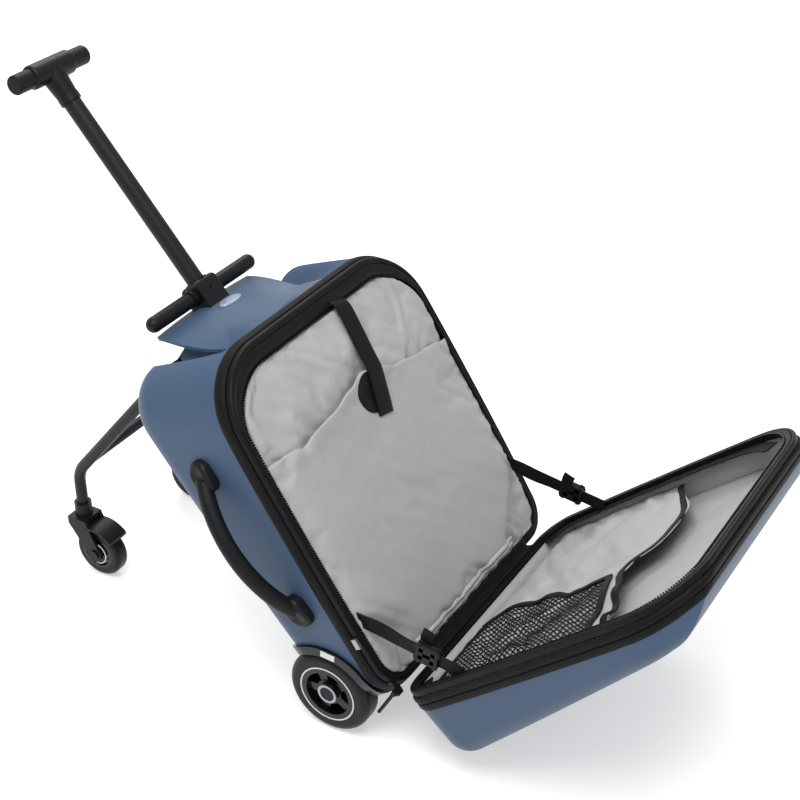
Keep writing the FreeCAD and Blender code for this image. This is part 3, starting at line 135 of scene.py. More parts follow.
def add(tree, kind, inputs=(), **settings):
    """Adds a node with its settings, and links or sets its sockets."""
    made = tree.nodes.new(kind)
    for name, value in settings.items():
        setattr(made, name, value)
    for socket, value in dict(inputs).items():
        if isinstance(value, bpy.types.NodeSocket):
            tree.links.new(value, made.inputs[socket])
        else:
            made.inputs[socket].default_value = value
    return made


def start(name, coordinates="Object"):
    """A new material, its node tree and the coordinates that its patterns read."""
    material = bpy.data.materials.new(name)
    material.use_nodes = True
    tree = material.node_tree
    tree.nodes.clear()
    return material, tree, add(tree, "ShaderNodeTexCoord").outputs[coordinates]


def close(tree, inputs):
    """Ends a material in one surface shader."""
    shader = add(tree, "ShaderNodeBsdfPrincipled", inputs)
    add(tree, "ShaderNodeOutputMaterial", {"Surface": shader.outputs[0]})


def speckle(tree, where, size, detail):
    """A noise whose lumps are about this many millimetres."""
    sockets = {"Vector": where, "Scale": 1 / (size * MM), "Detail": detail}
    return add(tree, "ShaderNodeTexNoise", sockets).outputs["Fac"]


def threads(tree, where, spacing, direction):
    """A wave whose bands are this many millimetres apart."""
    sockets = {"Vector": where, "Scale": math.pi / (10 * spacing * MM), "Distortion": 0.6, "Detail": 1.0}
    return add(tree, "ShaderNodeTexWave", sockets, bands_direction=direction).outputs["Fac"]


def combine(tree, operation, one, other):
    """One number made from two."""
    return add(tree, "ShaderNodeMath", {0: one, 1: other}, operation=operation).outputs[0]


MIX_SHARE, MIX_LOW, MIX_HIGH, MIX_COLOUR = 0, 6, 7, 2


def between(tree, share, low, high):
    """A colour between two hex colours, by the sockets that a mix node has for colours."""
    sockets = {MIX_SHARE: share, MIX_LOW: linear(low), MIX_HIGH: linear(high)}
    return add(tree, "ShaderNodeMix", sockets, data_type="RGBA").outputs[MIX_COLOUR]


def uneven(tree, pattern, middle, spread):
    """A number that a pattern moves up and down about its middle."""
    sockets = {"Value": pattern, "To Min": middle - spread, "To Max": middle + spread}
    return add(tree, "ShaderNodeMapRange", sockets).outputs[0]


def bumped(tree, pattern, depth, strength):
    """A bump whose depth is in millimetres."""
    sockets = {"Height": pattern, "Distance": depth * MM, "Strength": strength}
    return add(tree, "ShaderNodeBump", sockets).outputs[0]


DRIFT_SIZE, SCRATCH_SIZE, SLUB_SIZE = 90.0, 1.2, 14.0


def moulded(name, low, high, grit, depth, rough, shine=0.2, coat=0.0):
    """Moulded plastic: a colour that drifts a little, a fine spark-eroded grain and an uneven gloss."""
    material, tree, where = start(name)
    colour = between(tree, speckle(tree, where, DRIFT_SIZE, 2.0), low, high)
    grain = speckle(tree, where, grit, 3.0)
    gloss = uneven(tree, grain, rough, 0.06)
    sockets = {"Base Color": colour, "Roughness": gloss, "Normal": bumped(tree, grain, depth, 0.5)}
    sockets.update({"IOR": 1.5, "Specular IOR Level": shine, "Coat Weight": coat, "Coat Roughness": 0.12})
    close(tree, sockets)
    return material


# %% [markdown]
# ## Plastics and rubber
# The shell is vacuum-formed polycarbonate with a matte grain, so its highlights are broad and soft. The
# bars, collar and forks are glass-filled nylon, blacker and a little coarser. Grips are soft rubber with
# hardly any gloss, wheel centres are polished ABS, and the tyres are cast polyurethane, which shines where
# it rolls. The grit is under half a millimetre on the real thing, and is drawn coarser here so that it
# shows.

# %% Plastics
polycarbonate = moulded("polycarbonate_slate_blue", "#3c506a", "#435872", 1.0, 0.03, 0.44, 0.3)
nylon = moulded("glass_filled_nylon_black", "#101113", "#161719", 0.9, 0.05, 0.42)
rubber = moulded("thermoplastic_rubber_black", "#0d0e10", "#131416", 0.8, 0.06, 0.52)
polyurethane = moulded("cast_polyurethane_black", "#0d0d0f", "#131316", 2.5, 0.02, 0.38)
abs_gloss = moulded("abs_polished_black", "#0a0b0d", "#101114", 3.0, 0.01, 0.2, 0.3, 0.1)
abs_blue = moulded("abs_polished_blue", "#7d8da5", "#8b9ab0", 3.0, 0.01, 0.14, 0.5, 0.7)
abs_white = moulded("abs_pale_ring", "#d3d4d4", "#dcdcdc", 2.0, 0.01, 0.35, 0.5)
fibre_board = moulded("polypropylene_board_grey", "#85868a", "#8d8e92", 1.5, 0.03, 0.5, 0.5)

# %% [markdown]
# ## Coated and plated metal
# The tow tube and the front frame are aluminium and steel tube with a satin black powder coat, which leaves
# a faint orange peel about 2 mm across. Axle and slider are zinc plated, and nuts and bolts are blackened
# steel. Both are metals, so their colour is their reflection, brushed by fine scratches.

# %% Metals
powder_coat = moulded("powder_coated_tube_black", "#18191b", "#1f2023", 2.0, 0.04, 0.4)


def plated(name, colour, rough):
    """Plated steel, with short scratches that spread its highlight."""
    material, tree, where = start(name)
    scratch = speckle(tree, where, SCRATCH_SIZE, 5.0)
    gloss = uneven(tree, scratch, rough, 0.1)
    bump = bumped(tree, scratch, 0.02, 0.4)
    close(tree, {"Base Color": linear(colour), "Metallic": 1.0, "Roughness": gloss, "Normal": bump})
    return material


zinc = plated("zinc_plated_steel", "#9c9da1", 0.34)
black_steel = plated("blackened_steel", "#2b2c2f", 0.36)


# %% [markdown]
# ## Cloth, webbing and net
# Every cloth here is woven, so its pattern is two sets of threads. Weave follows the cloth and not the
# room, so these materials read a UV map in metres that each cloth piece gets from its own flat cut. A fine
# polyester lining has 6 threads to the millimetre; it is drawn with one each 1.1 mm, as coarse as it has to
# be to show.

# %% Cloth
def woven(name, low, high, across, along, depth, rough, sheen, gloss=0.5):
    """Plain woven cloth: two waves of thread, with slubs that make the colour uneven."""
    material, tree, where = start(name, "UV")
    warp, weft = threads(tree, where, across, "X"), threads(tree, where, along, "Y")
    weave = combine(tree, "MAXIMUM", warp, weft)
    slub = speckle(tree, where, SLUB_SIZE, 4.0)
    colour = between(tree, combine(tree, "MULTIPLY", weave, slub), low, high)
    sockets = {"Base Color": colour, "Roughness": rough, "Normal": bumped(tree, weave, depth, 0.35)}
    sockets.update({"Sheen Weight": sheen, "Sheen Roughness": 0.4, "IOR": 1.45, "Specular IOR Level": gloss})
    close(tree, sockets)
    return material


lining_cloth = woven("polyester_lining_grey", "#9c9c9f", "#adadaf", 1.1, 1.1, 0.05, 0.6, 0.08)
band_cloth = woven("nylon_twill_black", "#08080a", "#121214", 1.6, 1.1, 0.10, 0.62, 0.03, 0.18)
webbing = woven("nylon_webbing_black", "#08080a", "#131316", 2.0, 1.4, 0.16, 0.58, 0.03, 0.18)
net_yarn = woven("knitted_net_black", "#09090b", "#121214", 0.8, 0.8, 0.05, 0.6, 0.02, 0.18)
binding_cloth = woven("grosgrain_binding_black", "#0a0a0c", "#151518", 3.0, 1.0, 0.12, 0.58, 0.03, 0.18)
piping_cloth = woven("coated_piping_silver", "#a9aaae", "#c8c9cc", 0.9, 0.9, 0.03, 0.35, 0.05)
tape_cloth = woven("zip_tape_black", "#08080a", "#111113", 1.2, 1.2, 0.06, 0.52, 0.02, 0.2)
coil = moulded("nylon_zip_coil_black", "#0c0d0f", "#141518", 0.8, 0.03, 0.36)
print("materials", len(bpy.data.materials))

# %% [markdown]
# ## Floor and light
# A product photograph on white is a pale sweep with one large soft lamp, and here a second one behind the
# case. The floor could be lit until it clips, but that would bleach the case too. Instead it glows a
# little, for the camera and in reflections only. So it reads as white where nothing shades it, and still
# takes the soft shadow under the wheels.

# %% Stage
FLOOR_SIZE, FLOOR_GLOW = 12.0, 0.42
bm = bmesh.new()
bmesh.ops.create_grid(bm, x_segments=2, y_segments=2, size=FLOOR_SIZE)
floor_mesh = bpy.data.meshes.new("floor")
bm.to_mesh(floor_mesh)
bm.free()
floor = bpy.data.objects.new("floor", floor_mesh)
scene.collection.objects.link(floor)
paper = bpy.data.materials.new("white_paper_sweep")
paper.use_nodes = True
tree = paper.node_tree
tree.nodes.clear()
rays = add(tree, "ShaderNodeLightPath").outputs
seen = combine(tree, "MAXIMUM", rays["Is Camera Ray"], rays["Is Glossy Ray"])
seen = combine(tree, "MAXIMUM", seen, rays["Is Transmission Ray"])
strength = combine(tree, "MULTIPLY", seen, FLOOR_GLOW)
glow = add(tree, "ShaderNodeEmission", {"Color": linear("#ffffff"), "Strength": strength})
matt = add(tree, "ShaderNodeBsdfDiffuse", {"Color": linear("#ececec")})
both = add(tree, "ShaderNodeAddShader", {0: glow.outputs[0], 1: matt.outputs[0]})
add(tree, "ShaderNodeOutputMaterial", {"Surface": both.outputs[0]})
floor_mesh.materials.append(paper)

# %% Light
SKY_LIGHT, SKY_SEEN = 0.66, 1.0
world = bpy.data.worlds.new("studio")
scene.world = world
world.use_nodes = True
tree = world.node_tree
tree.nodes.clear()
rays = add(tree, "ShaderNodeLightPath").outputs
seen = combine(tree, "MAXIMUM", rays["Is Camera Ray"], rays["Is Transmission Ray"])
strength = add(tree, "ShaderNodeMapRange", {"Value": seen, "To Min": SKY_LIGHT, "To Max": SKY_SEEN})
sky = add(tree, "ShaderNodeBackground", {"Color": linear("#ffffff"), "Strength": strength.outputs[0]})
add(tree, "ShaderNodeOutputWorld", {"Surface": sky.outputs[0]})


def soft_lamp(name, place, aim, width, power):
    """A square soft box at a place, turned to a point."""
    lamp = bpy.data.objects.new(name, bpy.data.lights.new(name, "AREA"))
    lamp.data.size = width
    lamp.data.energy = power
    lamp.location = place
    lamp.rotation_euler = (Vector(aim) - Vector(place)).to_track_quat("-Z", "Y").to_euler()
    scene.collection.objects.link(lamp)


MIDDLE = (0.0, 0.0, 0.3)
soft_lamp("key", (0.3, -0.8, 2.7), MIDDLE, 1.6, 52)
soft_lamp("rim", (-1.6, 1.6, 2.2), MIDDLE, 1.4, 26)

# %% [markdown]
# ## Finishes on the solids
# A solid whose shape is right needs no new mesh, only a finish. Each one gets the material of what it is
# made of, and so does one that a finer piece stands for further down.

# %% Finishes on solids
SOLID_FINISHES = {
    polycarbonate: ("main_shell", "lid_shell", "seat_nose"),
    nylon: ("collar_block", "crossbars", "carry_caps", "rod_bush", "guide_foot", "frame_brackets",
            "lid_buckles", "caster_fork_left", "caster_fork_right", "stem_sockets", "handle_neck",
            "zip_end_block", "tube_plug"),
    rubber: ("handle_grips", "carry_grip", "zip_pull"),
    polyurethane: ("rear_tyre_left", "rear_tyre_right", "caster_tyre_left", "caster_tyre_right"),
    abs_gloss: ("wheel_arches", "rear_hub_left", "rear_hub_right", "caster_hub_left", "caster_hub_right"),
    abs_blue: ("release_button",),
    abs_white: ("arch_reflectors",),
    fibre_board: ("divider_board",),
    powder_coat: ("tow_tube", "frame_leg_left", "frame_leg_right", "frame_cross_tube", "handle_core"),
    zinc: ("rear_axle", "rear_bearings", "frame_pins", "zip_slider", "rod_guide"),
    black_steel: ("axle_nuts", "collar_screw", "caster_bolt_left", "caster_bolt_right"),
    lining_cloth: ("upper_panel", "pocket_panel", "lid_lining", "lid_pocket_panel"),
    band_cloth: ("case_zip_band", "case_zip_tape", "lid_zip_band", "lid_zip_tape", "hinge_cloth"),
    webbing: ("pocket_strap", "strap_patch", "lid_straps"),
    net_yarn: ("lid_mesh_pocket",),
    binding_cloth: ("pocket_binding",),
    piping_cloth: ("hem_piping",),
}
for material, names in SOLID_FINISHES.items():
    for name in names:
        solid = frame["nodes"][name].data
        solid.materials.clear()
        solid.materials.append(material)
print("solids finished", sum(len(names) for names in SOLID_FINISHES.values()))

# %% [markdown]
# ## The case's outline as a mesh
# The zip bands and linings all follow the outline of the closed case, a little inside or outside of it.
# Copying the solids would give triangles that can't be shaped, so the closed case is drawn once more as a
# plain mesh: a box with a sloped top, bevelled corners and bowed sides. An inset moves every face in. The
# numbers are the ones that the solids are made from.

# %% The closed case
HALF_WIDTH, SIDE_BOW = 183.0, 5.0
BACK_OFFSET, FRONT_OFFSET, BOTTOM_OFFSET = 15.0, 180.0, 30.0
TOP_AT_BACK, TOP_AT_FRONT = 403.0, 346.5
BACK_CORNER, FRONT_CORNER, BOTTOM_CORNER = 52.0, 88.0, 38.0
BACK_EDGE, FRONT_EDGE = 30.0, 26.0
TOP_FRONT_EDGE, CLEAR = 80.0, 0.3
ROUND_RADIUS = TOP_FRONT_EDGE + CLEAR
TOP_SLOPE = (TOP_AT_BACK - TOP_AT_FRONT) / (BACK_OFFSET + FRONT_OFFSET)


def top_at(forward):
    """Height of the case's flat top at a distance forward of the axle."""
    return TOP_AT_BACK - TOP_SLOPE * (forward + BACK_OFFSET)


def bevel(bm, edges, width, steps):
    """Rounds edges to a radius."""
    bmesh.ops.bevel(bm, geom=edges, offset=width, offset_type="OFFSET", segments=steps, profile=0.5,
                    affect="EDGES", material=-1, clamp_overlap=False)


def crosswise(edge):
    """Whether an edge lies across the case, at one distance from its back."""
    return abs(edge.verts[0].co.x - edge.verts[1].co.x) < 1


def closed_case(inset):
    """The closed case in its own frame, with every face moved in by an inset."""
    bm = bmesh.new()
    bmesh.ops.create_cube(bm, size=2.0)
    edge = HALF_WIDTH - SIDE_BOW - inset
    back, front, low = inset - BACK_OFFSET, FRONT_OFFSET - inset, inset - BOTTOM_OFFSET
    drop = inset * math.hypot(1, TOP_SLOPE)
    for v in bm.verts:
        forward = front if v.co.x > 0 else back
        v.co = (forward, math.copysign(edge, v.co.y), low if v.co.z < 0 else top_at(forward) - drop)
    bevel(bm, [e for e in bm.edges if not crosswise(e) and e.verts[0].co.z < 0], BOTTOM_CORNER - inset, 10)
    small, large = BACK_CORNER - inset, FRONT_CORNER - inset
    high = top_at(front) - drop - 1
    bevel(bm, [e for e in bm.edges if not crosswise(e) and e.verts[0].co.z > high], small, 16)
    for v in bm.verts:
        top = top_at(v.co.x) - drop
        out, up = abs(v.co.y) - edge + small, v.co.z - top + small
        if v.co.x > back + 1 and out > -1 and up > -6:
            angle = math.atan2(max(up, 0), max(out, 0))
            v.co.y = math.copysign(edge - large + large * math.cos(angle), v.co.y)
            v.co.z = top - large + large * math.sin(angle)
    wide = [e for e in bm.edges if crosswise(e) and e.calc_length() > 40]
    bmesh.ops.subdivide_edges(bm, edges=wide, cuts=16)
    for v in bm.verts:
        middle, span = (top_at(v.co.x) - drop + low) / 2, (top_at(v.co.x) - drop - low) / 2
        v.co.y += SIDE_BOW * (v.co.y / edge) * max(0, 1 - ((v.co.z - middle) / span) ** 2)
    bevel(bm, [e for e in bm.edges if crosswise(e) and e.verts[0].co.x < back + 1], BACK_EDGE - inset, 5)
    bevel(bm, [e for e in bm.edges if crosswise(e) and e.verts[0].co.x > front - 1], FRONT_EDGE - inset, 5)
    return bm


def past_round(point, inset):
    """From the middle of the large round on the top front edge to a point outside it, in the rim's frame."""
    away = point - ROUND_MIDDLE
    away.y = 0
    outside = away.length > ROUND_RADIUS - inset and away.dot(ROUND_START) > 0 and away.dot(ROUND_END) > 0
    return away if outside else None


def rim_outline(inset, depth):
    """Points round the rim where a plane at a depth cuts the case at an inset, from the hinge's middle."""
    bm = closed_case(inset)
    bmesh.ops.transform(bm, matrix=CASE_TO_RIM, verts=bm.verts)
    everything = bm.verts[:] + bm.edges[:] + bm.faces[:]
    bmesh.ops.bisect_plane(bm, geom=everything, plane_co=(depth, 0, 0), plane_no=(1, 0, 0), dist=0.001,
                           clear_inner=True, clear_outer=True)
    here = min(bm.verts, key=lambda v: v.co.z + abs(v.co.y))
    walk, came = [here], None
    while len(walk) < len(bm.verts):
        onward = [e for e in here.link_edges if e is not came]
        came = max(onward, key=lambda e: e.other_vert(here).co.y) if len(walk) == 1 else onward[0]
        here = came.other_vert(here)
        walk.append(here)
    points = [v.co.copy() for v in walk]
    bm.free()
    for p in points:
        away = past_round(p, inset)
        if away:
            p.z = ROUND_MIDDLE.z + math.sqrt((ROUND_RADIUS - inset) ** 2 - away.x ** 2)
    return points


slope = math.atan(TOP_SLOPE)
below = TOP_FRONT_EDGE * math.tan((math.pi / 2 - slope) / 2)
ROUND_MIDDLE = CASE_TO_RIM @ Vector((FRONT_OFFSET - TOP_FRONT_EDGE, 0, TOP_AT_FRONT - below))
ROUND_START = CASE_TO_RIM.to_3x3() @ Vector((math.cos(slope), 0, -math.sin(slope)))
ROUND_END = CASE_TO_RIM.to_3x3() @ Vector((0, 0, 1))
rim_points = rim_outline(0.0, 0.0)
RIM_TOP = max(p.z for p in rim_points)
print("rim outline", len(rim_points), "points, top at", round(RIM_TOP, 1), "mm")

# %% [markdown]
# ## Making a piece
# Every new piece ends the same way: its mesh is moved from the frame it was drawn in to the world, and it
# gets its material, the body that carries it and the solids that it stands for.

# %% Piece helpers
def piece(name, bm, place, material, body=None, stands_for=(), sharp=40):
    """Turns a mesh drawn in millimetres into a placed piece."""
    bmesh.ops.transform(bm, matrix=place, verts=bm.verts)
    mesh = bpy.data.meshes.new(name)
    bm.to_mesh(mesh)
    bm.free()
    mesh.shade_smooth()
    mesh.set_sharp_from_angle(angle=math.radians(sharp))
    mesh.materials.append(material)
    made = bpy.data.objects.new(name, mesh)
    scene.collection.objects.link(made)
    if body:
        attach(made, body)
    if stands_for:
        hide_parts(*stands_for)
    return made


def lay_uv(bm, flat, around=None):
    """Gives each corner the flat place of its vertex in metres, and closes the seam of a ring."""
    layer = bm.loops.layers.uv.new("cut")
    for face in bm.faces:
        places = [Vector(flat[loop.vert]) for loop in face.loops]
        for axis in (0, 1) if around else ():
            values = [p[axis] for p in places]
            if max(values) - min(values) > around[axis] / 2:
                for p in places:
                    p[axis] += around[axis] if p[axis] < around[axis] / 2 else 0
        for loop, p in zip(face.loops, places):
            loop[layer].uv = (p[0] * MM, p[1] * MM)


def thicken(made, wall, soft=0.0):
    """Gives a sheet its thickness, with soft edges where they are asked for."""
    skin = made.modifiers.new("wall", "SOLIDIFY")
    skin.thickness, skin.offset = wall * MM, 0.0
    if soft:
        edge = made.modifiers.new("soft_edge", "BEVEL")
        edge.width, edge.segments, edge.limit_method = soft * MM, 2, "ANGLE"


def ease(value, start, end):
    """A smooth step from 0 at start to 1 at end."""
    share = min(max((value - start) / (end - start), 0.0), 1.0)
    return share * share * (3 - 2 * share)


def along_table(table, value):
    """A smooth value between the rows of a table of (place, value)."""
    if value <= table[0][0]:
        return table[0][1]
    for (start, low), (end, high) in zip(table, table[1:]):
        if value <= end:
            return low + (high - low) * ease(value, start, end)
    return table[-1][1]


# %% [markdown]
# ## Zip bands round both halves
# The black edge of a soft-zip suitcase is two rolls of twill, a groove, and a flat tape whose coil teeth
# make a serrated edge against the cloth. Its section is drawn once as insets and depths. Each point of the
# section becomes an outline of the case, and neighbouring outlines are bridged. At the top of the case the
# tape is wider, because the cloth behind it is cut lower there.

# %% Zip bands
TOP_SPREAD, LID_SPREAD = 1.75, 0.5
SPREAD_INSET, SPREAD_START, SPREAD_END = 3.0, RIM_TOP - 105, RIM_TOP - 8
RIM_LENGTH = 1400.0


def spread(point, inset, amount):
    """Draws the inner part of a band further in along the top of the rim."""
    reach = amount * max(inset - SPREAD_INSET, 0.0) * ease(point.z, SPREAD_START, SPREAD_END)
    return Vector((point.x, point.y, point.z - reach))


def rim_band(section, amount=0.0):
    """A closed band round the rim, with a flat place for every vertex."""
    bm = bmesh.new()
    rings, flat, run = [], {}, 0.0
    for number, (inset, depth) in enumerate(section):
        points = [spread(p, inset, amount) for p in rim_outline(inset, depth)]
        verts = [bm.verts.new(p) for p in points]
        rings.append([bm.edges.new(pair) for pair in zip(verts, verts[1:] + verts[:1])])
        if number:
            run += math.dist(section[number - 1], section[number])
        for place, v in enumerate(verts):
            flat[v] = (RIM_LENGTH * place / len(verts), run)
    for one, other in zip(rings, rings[1:] + rings[:1]):
        bmesh.ops.bridge_loops(bm, edges=one + other)
    bmesh.ops.recalc_face_normals(bm, faces=bm.faces)
    lay_uv(bm, flat, (RIM_LENGTH, run))
    return bm


CASE_ROLL = [(-0.3, -21.6), (-1.3, -19.6), (-1.8, -16.5), (-1.7, -13.0), (-0.9, -10.0), (0.5, -8.4),
             (2.2, -8.6), (3.4, -10.5), (3.6, -20.5), (1.5, -21.8)]
CASE_TAPE = [(1.9, -8.4), (1.3, -6.2), (1.4, -3.4), (2.2, -1.5), (3.4, -0.9), (4.6, -1.2), (5.1, -2.4),
             (5.7, -1.2), (6.8, -0.8), (8.4, -1.0), (9.9, -1.6), (10.8, -3.4), (10.6, -6.0), (6.0, -8.6)]
LID_ROLL = [(-0.3, 25.4), (-1.4, 23.6), (-1.8, 20.8), (-1.3, 18.0), (0.2, 16.9), (-1.2, 15.8), (-1.7, 13.4),
            (-1.2, 10.6), (0.4, 8.9), (2.4, 9.6), (3.6, 11.4), (3.6, 24.0), (1.5, 25.6)]
LID_TAPE = [(inset, -depth) for inset, depth in CASE_TAPE]
case_band = rim_band(CASE_ROLL)
case_roll = piece("case_zip_roll", case_band, RIM, band_cloth, "case", ["case_zip_band"])
case_edge = rim_band(CASE_TAPE, TOP_SPREAD)
case_tape = piece("case_zip_edge", case_edge, RIM, tape_cloth, "case", ["case_zip_tape"])
lid_band = rim_band(LID_ROLL)
lid_roll = piece("lid_zip_roll", lid_band, LID, band_cloth, "lid", ["lid_zip_band"])
lid_edge = rim_band(LID_TAPE, LID_SPREAD)
lid_tape = piece("lid_zip_edge", lid_edge, LID, tape_cloth, "lid", ["lid_zip_tape"])
print("zip bands", [len(o.data.polygons) for o in (case_roll, case_tape, lid_roll, lid_tape)], "faces")

# %% [markdown]
# The coil itself is hundreds of small teeth. Each one is a small block, set on the tape's inner edge and
# turned along it. The teeth of a number 8 coil are 1.5 mm apart; these are 3 mm apart, so that they show.

# %% Zip teeth
TOOTH_STEP, TOOTH_SIZE = 3.0, (1.5, 1.7, 3.4)
TEETH_INSET, TEETH_DEPTH = 10.9, 2.2


def zip_teeth(inset, depth, amount):
    """Coil teeth at even steps along an outline of the rim."""
    points = [spread(p, inset, amount) for p in rim_outline(inset, depth)]
    bm = bmesh.new()
    left = 0.0
    for start, end in zip(points, points[1:] + points[:1]):
        length = (end - start).length
        if length < 0.01:
            continue
        heading = (end - start).normalized()
        while left < length:
            turn = heading.to_track_quat("Y", "X").to_matrix().to_4x4()
            size = Matrix.Diagonal((*TOOTH_SIZE, 1.0))
            spot = Matrix.Translation(start + heading * left) @ turn @ size
            bmesh.ops.create_cube(bm, size=1.0, matrix=spot)
            left += TOOTH_STEP
        left -= length
    return bm


case_coil = zip_teeth(TEETH_INSET, -TEETH_DEPTH, TOP_SPREAD)
case_teeth = piece("case_zip_teeth", case_coil, RIM, coil, "case")
lid_coil = zip_teeth(TEETH_INSET, TEETH_DEPTH, LID_SPREAD)
lid_teeth = piece("lid_zip_teeth", lid_coil, LID, coil, "lid")
print("teeth", len(case_teeth.data.polygons) // 6, len(lid_teeth.data.polygons) // 6)

# %% [markdown]
# ## Letting cloth settle
# Cloth that is sewn down all round has a little more length than its place, so it puckers from seam to
# seam. Sculpted folds look drawn; a short simulation finds real ones. The edges are pinned, the cloth is
# grown by a few percent, and twenty frames let it buckle. How far a point may go is capped, so that it
# stays clear of its neighbours, and the result is written back to the mesh.

# %% Cloth settling
def settle(made, sewn, slack, pressure, cap, frames=20):
    """Lets a sewn sheet buckle, and keeps what it found."""
    pins = made.vertex_groups.new(name="sewn")
    for number, weight in sewn.items():
        pins.add([number], weight, "REPLACE")
    cloth = made.modifiers.new("cloth", "CLOTH")
    facts = cloth.settings
    facts.quality, facts.mass, facts.air_damping = 5, 0.12, 2.0
    facts.tension_stiffness = facts.compression_stiffness = 12.0
    facts.shear_stiffness, facts.bending_stiffness = 5.0, 0.12
    facts.vertex_group_mass, facts.pin_stiffness = "sewn", 1.0
    facts.shrink_min = -slack
    facts.use_pressure, facts.uniform_pressure_force = True, pressure
    facts.effector_weights.gravity = 0.0
    cloth.collision_settings.use_collision = False
    cloth.point_cache.frame_start, cloth.point_cache.frame_end = 1, frames
    for number in range(1, frames + 1):
        scene.frame_set(number)
    shaped = made.evaluated_get(bpy.context.evaluated_depsgraph_get())
    moves = [new.co - old.co for new, old in zip(shaped.data.vertices, made.data.vertices)]
    made.modifiers.remove(cloth)
    made.vertex_groups.remove(pins)
    scene.frame_set(1)
    for v, move in zip(made.data.vertices, moves):
        v.co += move * min(1.0, cap * MM / max(move.length, 1e-9))
    print(made.name, "moved up to", round(max(m.length for m in moves) / MM, 1), "mm")


# %% [markdown]
# ## The divider
# A padded cloth wall closes the main compartment. Its lower part is a pocket, whose hemmed mouth rises from
# both sides to the strap. Each cloth is a grid that is fitted to the rounded opening row by row, crowned
# towards the middle, and left to settle. The upper cloth goes down behind the pocket's mouth. Last, the
# pocket is pressed in by a formula where the lid's pocket and zip come down on it, so that the case can
# close.

# %% Divider cloth
CLOTH_LOW, CLOTH_HIGH = 11.0, RIM_TOP - 27.0
CLOTH_TOP_CORNER, CLOTH_LOW_CORNER = 66.0, 30.0
CLOTH_HALF, LINE_HALF = 172.0, 168.0
EDGE_SUNK, CROWN_RISE, CROWN_RUN = 4.6, 11.5, 26.0
MOUTH = ((-175, 279), (-122, 278), (-63, 282), (-24, 291), (2, 298), (30, 289), (63, 275), (110, 267),
         (175, 260))
MOUTH_TUCK, MOUTH_GAP = 16.0, 3.4
PRESS_OUT, PRESS_SHARE, PRESS_BELOW, PRESS_RUN = 9.0, 0.55, 278.0, 34.0
EDGE_OUT, EDGE_SHARE = -1.0, 0.6
HINGE_EDGE, HINGE_RUN, SIDE_EDGE, SIDE_RUN = 24.0, 10.0, 160.0, 9.0


def cloth_half(along):
    """Half the width of the divider's cloth at a distance up the rim."""
    middle = (CLOTH_LOW + CLOTH_HIGH) / 2
    half = CLOTH_HALF - SIDE_BOW * ((along - middle) / middle) ** 2
    for corner, rest in ((CLOTH_TOP_CORNER, CLOTH_HIGH - along), (CLOTH_LOW_CORNER, along - CLOTH_LOW)):
        if rest < corner:
            half -= corner - math.sqrt(max(corner ** 2 - (corner - rest) ** 2, 0))
    return half


def crown(across, along):
    """How far the padded divider stands out of its edge."""
    rest = min(cloth_half(along) - abs(across), CLOTH_HIGH - along, along - CLOTH_LOW)
    return -EDGE_SUNK + CROWN_RISE * (1 - math.exp(-max(rest, 0) / CROWN_RUN))


def ruffle(across, along, seed):
    """Soft uneven folds to start from."""
    broad = noise.noise((across / 75, along / 55, seed))
    slant = noise.noise(((across + along) / 22, (across - along) / 110, seed + 7))
    return 2.2 * broad + 1.5 * slant


def divider_cloth(low_line, high_line, seed, rows):
    """A grid between two lines across the divider, with its flat places."""
    bm = bmesh.new()
    bmesh.ops.create_grid(bm, x_segments=88, y_segments=rows, size=1.0)
    flat = {}
    for v in bm.verts:
        share, up = v.co.x, (v.co.y + 1) / 2
        low, high = low_line(share * LINE_HALF), high_line(share * LINE_HALF)
        along = low + up * (high - low)
        across = share * cloth_half(along)
        flat[v] = (across, along)
        folds = ruffle(across, along, seed) * ease(1 - abs(share), 0, 0.2)
        v.co = (crown(across, along) + folds, across, along)
    lay_uv(bm, flat)
    return bm


def mouth_at(across):
    """Distance up the rim of the pocket's mouth."""
    return along_table(MOUTH, across)


def sewn_edge(made, place, free_side):
    """Vertices on a sheet's edge that are sewn, as pins. The free side is left loose."""
    count = {key: 0 for key in made.data.edge_keys}
    for face in made.data.polygons:
        for key in face.edge_keys:
            count[key] += 1
    edge = {v for key, uses in count.items() if uses == 1 for v in key}
    local = place.inverted()
    return {v: 1.0 for v in edge if not free_side(local @ made.data.vertices[v].co)}


def cut_cloth(made, wall=0.9):
    """Says what size a sewn sheet was cut to, and gives it its thickness."""
    wide, tall = made.dimensions.y, math.hypot(made.dimensions.x, made.dimensions.z)
    size = sum(p.area for p in made.data.polygons)
    flat = (round(wide * 1.03, 3), round(max(tall, size / wide) * 1.03, 3))
    thicken(made, wall)
    print(made.name, "cut to", flat, "m, area", round(size, 4), "m2")


def pressed(p):
    """A point of the divider's pocket, pressed in below its mouth and along its sewn edges."""
    p.x -= PRESS_SHARE * max(p.x - PRESS_OUT, 0) * ease(PRESS_BELOW - p.z, 0, PRESS_RUN)
    hinge_side, side = ease(HINGE_EDGE - p.z, 0, HINGE_RUN), ease(abs(p.y) - SIDE_EDGE, 0, SIDE_RUN)
    p.x -= EDGE_SHARE * max(p.x - EDGE_OUT, 0) * max(hinge_side, side)
    return p


